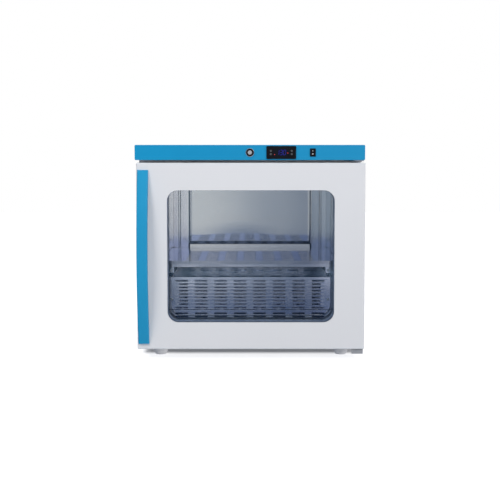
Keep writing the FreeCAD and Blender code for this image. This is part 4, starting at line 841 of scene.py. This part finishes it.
def makeController():
    low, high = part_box("controller_housing")
    lensLow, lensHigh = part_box("display_lens")
    hole, gap, web, backing = panel["keyHole"], panel["lensGap"], panel["web"], panel["backing"]
    holes = []
    for name in keyNames:
        place = keyCentre(name)
        holes.append(((place.x, place.z), 2 * hole, 2 * hole, hole, 6))
    holes.append(spanOf((lensLow.x - gap, lensLow.z - gap), (lensHigh.x + gap, lensHigh.z + gap),
                        panel["lensCorner"], 4))
    outline = spanOf((low.x, low.z), (high.x, high.z), panel["corner"], 5)
    bm = bmesh.new()
    frontBlank(bm, outline, holes, doorFront - panel["thickness"], panel["thickness"] - web)
    frontBlank(bm, outline, [], doorFront - backing, backing)
    aside, above = panel["bodyInset"]
    cuboid(bm, (low.x + aside, doorFront, low.z + above), (high.x - aside, high.y, high.z - above))
    closePiece("controllerCase", bm, "cabinet", "black_plastic", ("controller_housing",))


def makeKeys():
    radius, rounding = panel["keyRadius"], panel["keyRound"]
    for name in keyNames:
        low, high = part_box(name)
        depth = high.y - low.y
        bm = bmesh.new()
        turned(bm, [(0.0, depth), (radius, depth), (radius, rounding), (radius - rounding, 0.0),
                    (radius - panel["dishEdge"], panel["dishRim"]), (0.0, panel["dishFloor"])],
               keyCentre(name), 32)
        kind = name.split("_")[1]
        closePiece(kind + "Key", bm, kind + "_key", "key_caps", (name,))


def makeDigits():
    lensLow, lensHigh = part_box("display_lens")
    middle = (lensLow + lensHigh) / 2
    face = lensLow.y - display["proud"]
    width, height, stroke, thick = display["width"], display["height"], display["stroke"], display["thick"]
    bm = bmesh.new()
    for index, digit in enumerate("130"):
        x = middle.x + (index - 1) * display["pitch"]
        for name in shownDigits[digit]:
            across, up, level = segmentPlaces[name]
            length = (width if level else height / 2) - display["gap"]
            size = (length, stroke) if level else (stroke, length)
            spot = Vector((x + across * width / 2, face, middle.z + up * height / 2))
            bar = cuboid(bm, (spot.x - size[0] / 2, face, spot.z - size[1] / 2),
                         (spot.x + size[0] / 2, face + thick, spot.z + size[1] / 2))
            roundEdges(bm, edgesAlong(bar, axisY), display["endRound"], segments=2)
    for vert in bm.verts:
        vert.co.x += (vert.co.z - middle.z) * display["slant"]
    closePiece("displayDigits", bm, "cabinet", "display_window", finish=digitGlow)
    bm = bmesh.new()
    for edge, (across, up) in ((lensLow.x, display["leftDot"]), (lensHigh.x, display["rightDot"])):
        turned(bm, [(0.0, 0.0), (display["dot"], 0.0), (display["dot"], thick), (0.0, thick)],
               Vector((edge + across, face, middle.z + up)), 16)
    closePiece("displayDots", bm, "cabinet", "display_window", finish=redGlow)


rocker = {"tilt": 8.0, "lineWidth": 1.0 * mm, "lineHeight": 3.6 * mm, "ringOuter": 1.9 * mm,
          "ringInner": 1.2 * mm, "spread": 3.9 * mm, "dish": 0.8 * mm, "front": 2.2 * mm,
          "pivotDepth": 2.2 * mm, "half": 7.6 * mm, "lift": 0.06 * mm}


def makeRockerMarks():
    # a line above and a ring below, lying on the two slopes of the tilted rocker
    low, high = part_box("power_rocker")
    houseLow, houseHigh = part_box("switch_housing")
    pivot = Vector(((low.x + high.x) / 2, houseLow.y + rocker["pivotDepth"], (houseLow.z + houseHigh.z) / 2))
    lift, along, dish = rocker["lift"], rocker["spread"], rocker["dish"]
    wide, tall = rocker["lineWidth"] / 2, rocker["lineHeight"] / 2
    inner, outer = rocker["ringInner"], rocker["ringOuter"]
    slope = math.atan2(dish, rocker["half"])
    depth = -rocker["front"] + dish * (1 - along / rocker["half"]) - lift
    tilt = Matrix.Translation(pivot) @ Matrix.Rotation(math.radians(-rocker["tilt"]), 4, "X")
    bm = bmesh.new()
    for side in (1, -1):
        start = len(bm.verts)
        if side > 0:
            cuboid(bm, (-wide, -lift, -tall), (wide, lift, tall))
        else:
            turned(bm, [(inner, -lift), (outer, -lift), (outer, lift), (inner, lift), (inner, -lift)],
                   Vector(), 32)
        bm.verts.ensure_lookup_table()
        place = tilt @ Matrix.Translation((0, depth, side * along)) @ Matrix.Rotation(side * slope, 4, "X")
        bmesh.ops.transform(bm, matrix=place, verts=bm.verts[start:])
    closePiece("rockerMarks", bm, "rocker", "black_plastic", finish=whiteMark)


makeController()
makeKeys()
makeDigits()
makeRockerMarks()
print("controls made")


# Feet and screws

foot = {"sole": 15 * mm, "taper": 9 * mm, "radius": 19 * mm, "round": 0.8 * mm, "heel": 0.5 * mm,
        "groove": (3.2 * mm, 5 * mm), "grooveDepth": 0.6 * mm, "grooveSlope": 0.4 * mm, "seat": 0.3 * mm,
        "stud": 5 * mm, "studBite": 1 * mm}


def footProfile(top):
    sole, taper, radius, rounding = foot["sole"], foot["taper"], foot["radius"], foot["round"]
    depth, slope = foot["grooveDepth"], foot["grooveSlope"]
    grooveTop, grooveLow = top - foot["groove"][0], top - foot["groove"][1]
    return [(0.0, 0.0), (sole - rounding, 0.0), (sole, foot["heel"]), (radius - slope, taper - depth),
            (radius, taper + depth), (radius, grooveLow), (radius - depth, grooveLow + slope),
            (radius - depth, grooveTop - slope), (radius, grooveTop), (radius, top - rounding),
            (radius - rounding, top), (0.0, top)]


def makeFeet():
    rearLow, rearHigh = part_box("rear_feet")
    top = rearHigh.z
    stud, rounding, studLow = foot["stud"], foot["round"], top - foot["studBite"]
    for side in ("left", "right"):
        name = "foot_front_" + side
        low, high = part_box(name)
        centre = Vector(((low.x + high.x) / 2, (low.y + high.y) / 2, 0.0))
        bm = bmesh.new()
        turned(bm, footProfile(top - foot["seat"]), centre, 64, axisZ)
        turned(bm, [(0.0, studLow), (stud, studLow), (stud, high.z - rounding), (stud - rounding, high.z),
                    (0.0, high.z)], centre, 24, axisZ)
        closePiece("foot" + side.title(), bm, side + "_foot", "foot_plastic", (name,))
    bm = bmesh.new()
    for x in (rearLow.x + foot["radius"], rearHigh.x - foot["radius"]):
        turned(bm, footProfile(top), Vector((x, (rearLow.y + rearHigh.y) / 2, 0.0)), 64, axisZ)
    closePiece("feetRear", bm, "cabinet", "foot_plastic", ("rear_feet",))


screw = {"head": 3.6 * mm, "rise": 1.9 * mm, "shank": 1.9 * mm, "length": 2.4 * mm, "tip": 0.6 * mm,
         "dome": ((0.0, 1.0), (0.45, 0.96), (0.8, 0.72), (0.97, 0.38), (1.0, 0.0))}


def panHead(bm, seat, towards):
    # a domed head whose underside sits at the seat, on a short shank
    shank, tip, length = screw["shank"], screw["tip"], screw["length"]
    dome = [(screw["head"] * across, screw["rise"] * up) for across, up in screw["dome"]]
    turned(bm, dome + [(shank, 0.0), (shank, tip - length), (shank - tip, -length), (0.0, -length)], seat,
           24, towards)


def makeBasketScrews():
    low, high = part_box("basket_screws")
    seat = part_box("basket_front")[0].y
    half = (high.z - low.z) / 2
    bm = bmesh.new()
    for x in (low.x + half, high.x - half):
        panHead(bm, Vector((x, seat, (low.z + high.z) / 2)), -axisY)
    closePiece("basketScrews", bm, "basket", "zinc_steel", ("basket_screws",))


makeFeet()
makeBasketScrews()
print("pieces made")


# Room, light and camera

room = {"floorSize": 12.0, "white": (0.75, 0.75, 0.755), "paler": (0.74, 0.74, 0.745),
        "shade": (0.02, 0.02, 0.02), "lift": 0.93, "under": 0.3, "sideFade": 0.015,
        "starts": 0.083, "full": 0.118, "backFade": 0.05}
lamps = {
    "keyLight": {"place": (-1.5, -2.2, 2.3), "size": (1.2, 1.2), "power": 37.5, "tint": (1.0, 0.98, 0.95)},
    "fillLight": {"place": (1.2, -3.0, 1.0), "size": (2.0, 2.0), "power": 22.0, "tint": (1.0, 0.98, 0.955)},
}
lampTarget = Vector((0.0, 0.0, 0.3))
view = {"lens": 68.28, "distance": 2.4725, "side": -0.00045, "height": 0.5462, "pitch": 4.017,
        "shift": -0.06, "sensor": 36.0, "near": 0.05, "far": 60.0}

# tones of the studio by the direction a reflection looks in: across, then up
surround = {"strength": 0.81,
            "sides": ((-0.5, (0.40, 0.43, 0.48)), (-0.084, (0.33, 0.38, 0.45)), (-0.07, (0.90, 0.89, 0.88)),
                      (0.0, (0.60, 0.62, 0.66)), (0.066, (0.32, 0.36, 0.44)), (0.082, (0.90, 0.87, 0.90)),
                      (0.5, (1.0, 1.0, 1.0))),
            "levels": ((-0.6, (0.80, 0.81, 0.83)), (-0.26, (0.60, 0.62, 0.66)), (-0.19, (0.24, 0.30, 0.52)),
                       (-0.15, (0.23, 0.29, 0.44)), (-0.134, (0.34, 0.39, 0.53)), (-0.130, (1.3, 1.35, 1.5)),
                       (-0.121, (1.3, 1.35, 1.5)), (-0.1175, (0.32, 0.37, 0.48)),
                       (-0.107, (0.34, 0.39, 0.50)), (-0.1, (0.48, 0.52, 0.64)),
                       (-0.0885, (0.50, 0.54, 0.66)), (-0.084, (1.0, 1.0, 1.0)), (0.05, (1.0, 1.0, 1.0)),
                       (0.07, (0.48, 0.56, 0.88)), (0.14, (0.50, 0.58, 0.88)), (0.2, (1.0, 1.0, 1.0)))}


def seenPlainly(tree):
    # 1 for what the lens sees directly or only through glass, 0 for reflected and scattered light
    rays = tree.nodes.new("ShaderNodeLightPath").outputs
    bounces = calculate(tree, "ADD", rays["Glossy Depth"], rays["Diffuse Depth"])
    return calculate(tree, "LESS_THAN", bounces, 0.5)


def toneRamp(tree, value, stops):
    # a ramp over directions from -1 to 1
    ramp = addNode(tree, "ValToRGB", {"Fac": spread(tree, value, -1.0, 1.0)})
    marks = ramp.color_ramp.elements
    while len(marks) < len(stops):
        marks.new(0.5)
    for mark, (level, tone) in zip(marks, stops):
        mark.position = (level + 1) / 2
        mark.color = (*tone, 1.0)
    return ramp.outputs["Color"]


def makeWorld():
    # the studio as the steel and the glass see it: upright bands of tone crossed by level ones
    world = bpy.data.worlds.new("studio")
    bpy.context.scene.world = world
    world.use_nodes = True
    tree = world.node_tree
    tree.nodes.clear()
    direction = tree.nodes.new("ShaderNodeTexCoord").outputs["Generated"]
    parts = addNode(tree, "SeparateXYZ", {"Vector": direction}).outputs
    sides = toneRamp(tree, parts["X"], surround["sides"])
    both = blendColours(tree, 1.0, sides, toneRamp(tree, parts["Z"], surround["levels"]), "MULTIPLY")
    toned = addNode(tree, "Background", {"Color": both, "Strength": surround["strength"]})
    white = addNode(tree, "Background", {"Color": (1, 1, 1), "Strength": 1.0})
    mixShaders(tree, seenPlainly(tree), toned, white, tree.nodes.new("ShaderNodeOutputWorld"))


def underCabinet(tree, place):
    # 1 on the open paper, falling to 0 in the contact shade beneath the cabinet
    parts = addNode(tree, "SeparateXYZ", {"Vector": place}).outputs
    aside = calculate(tree, "ABSOLUTE", parts["X"])
    within = spread(tree, aside, room["under"], room["under"] - room["sideFade"])
    behind = spread(tree, parts["Y"], doorFront + room["starts"], doorFront + room["full"])
    back = cadBounds[1][1]
    before = spread(tree, parts["Y"], back, back - room["backFade"])
    shade = calculate(tree, "MULTIPLY", calculate(tree, "MULTIPLY", within, behind), before)
    return spread(tree, shade, 0.0, 1.0, 1.0, 0.0)


def makeFloor():
    bm = bmesh.new()
    bmesh.ops.create_grid(bm, x_segments=1, y_segments=1, size=room["floorSize"] / 2)
    mesh = bpy.data.meshes.new("studioFloor")
    bm.to_mesh(mesh)
    bm.free()
    floor = bpy.data.objects.new("studioFloor", mesh)
    bpy.context.collection.objects.link(floor)
    material, tree, shader, place = startMaterial("floorPaper")
    tone = useEffect(tree, "drift", place, Size=1.5)["Mask"]
    feed(tree, shader, {
        "Base Color": blendColours(tree, tone, room["white"], room["paler"]),
        "Roughness": 0.8,
        "Emission Color": blendColours(tree, underCabinet(tree, place), room["shade"], room["white"]),
        "Emission Strength": room["lift"],
        "Specular IOR Level": 0.1,
    })
    # reflections and scattered light look past the paper into the surround
    clear = addNode(tree, "BsdfTransparent")
    mixShaders(tree, seenPlainly(tree), clear, shader, tree.nodes["Material Output"])
    mesh.materials.append(material)


def makeLamp(name, settings):
    lamp = bpy.data.lights.new(name, "AREA")
    lamp.shape = "RECTANGLE"
    lamp.size, lamp.size_y = settings["size"]
    lamp.energy = settings["power"]
    lamp.color = settings["tint"]
    holder = bpy.data.objects.new(name, lamp)
    holder.location = settings["place"]
    aim = lampTarget - Vector(settings["place"])
    holder.rotation_euler = aim.to_track_quat("-Z", "Y").to_euler()
    # neither steel nor glass shows the lamps themselves
    holder.visible_glossy = False
    holder.visible_transmission = False
    bpy.context.collection.objects.link(holder)


def makeCamera():
    camera = bpy.data.cameras.new("studioCamera")
    camera.sensor_width = view["sensor"]
    camera.lens = view["lens"]
    camera.shift_y = view["shift"]
    camera.clip_start, camera.clip_end = view["near"], view["far"]
    holder = bpy.data.objects.new("studioCamera", camera)
    holder.location = (view["side"], doorFront - view["distance"], view["height"])
    holder.rotation_euler = (math.radians(90.0 - view["pitch"]), 0.0, 0.0)
    bpy.context.collection.objects.link(holder)
    bpy.context.scene.camera = holder


makeFloor()
makeWorld()
for name, settings in lamps.items():
    makeLamp(name, settings)
makeCamera()
bpy.context.scene.view_settings.view_transform = "Standard"
print("room, light and camera ready")
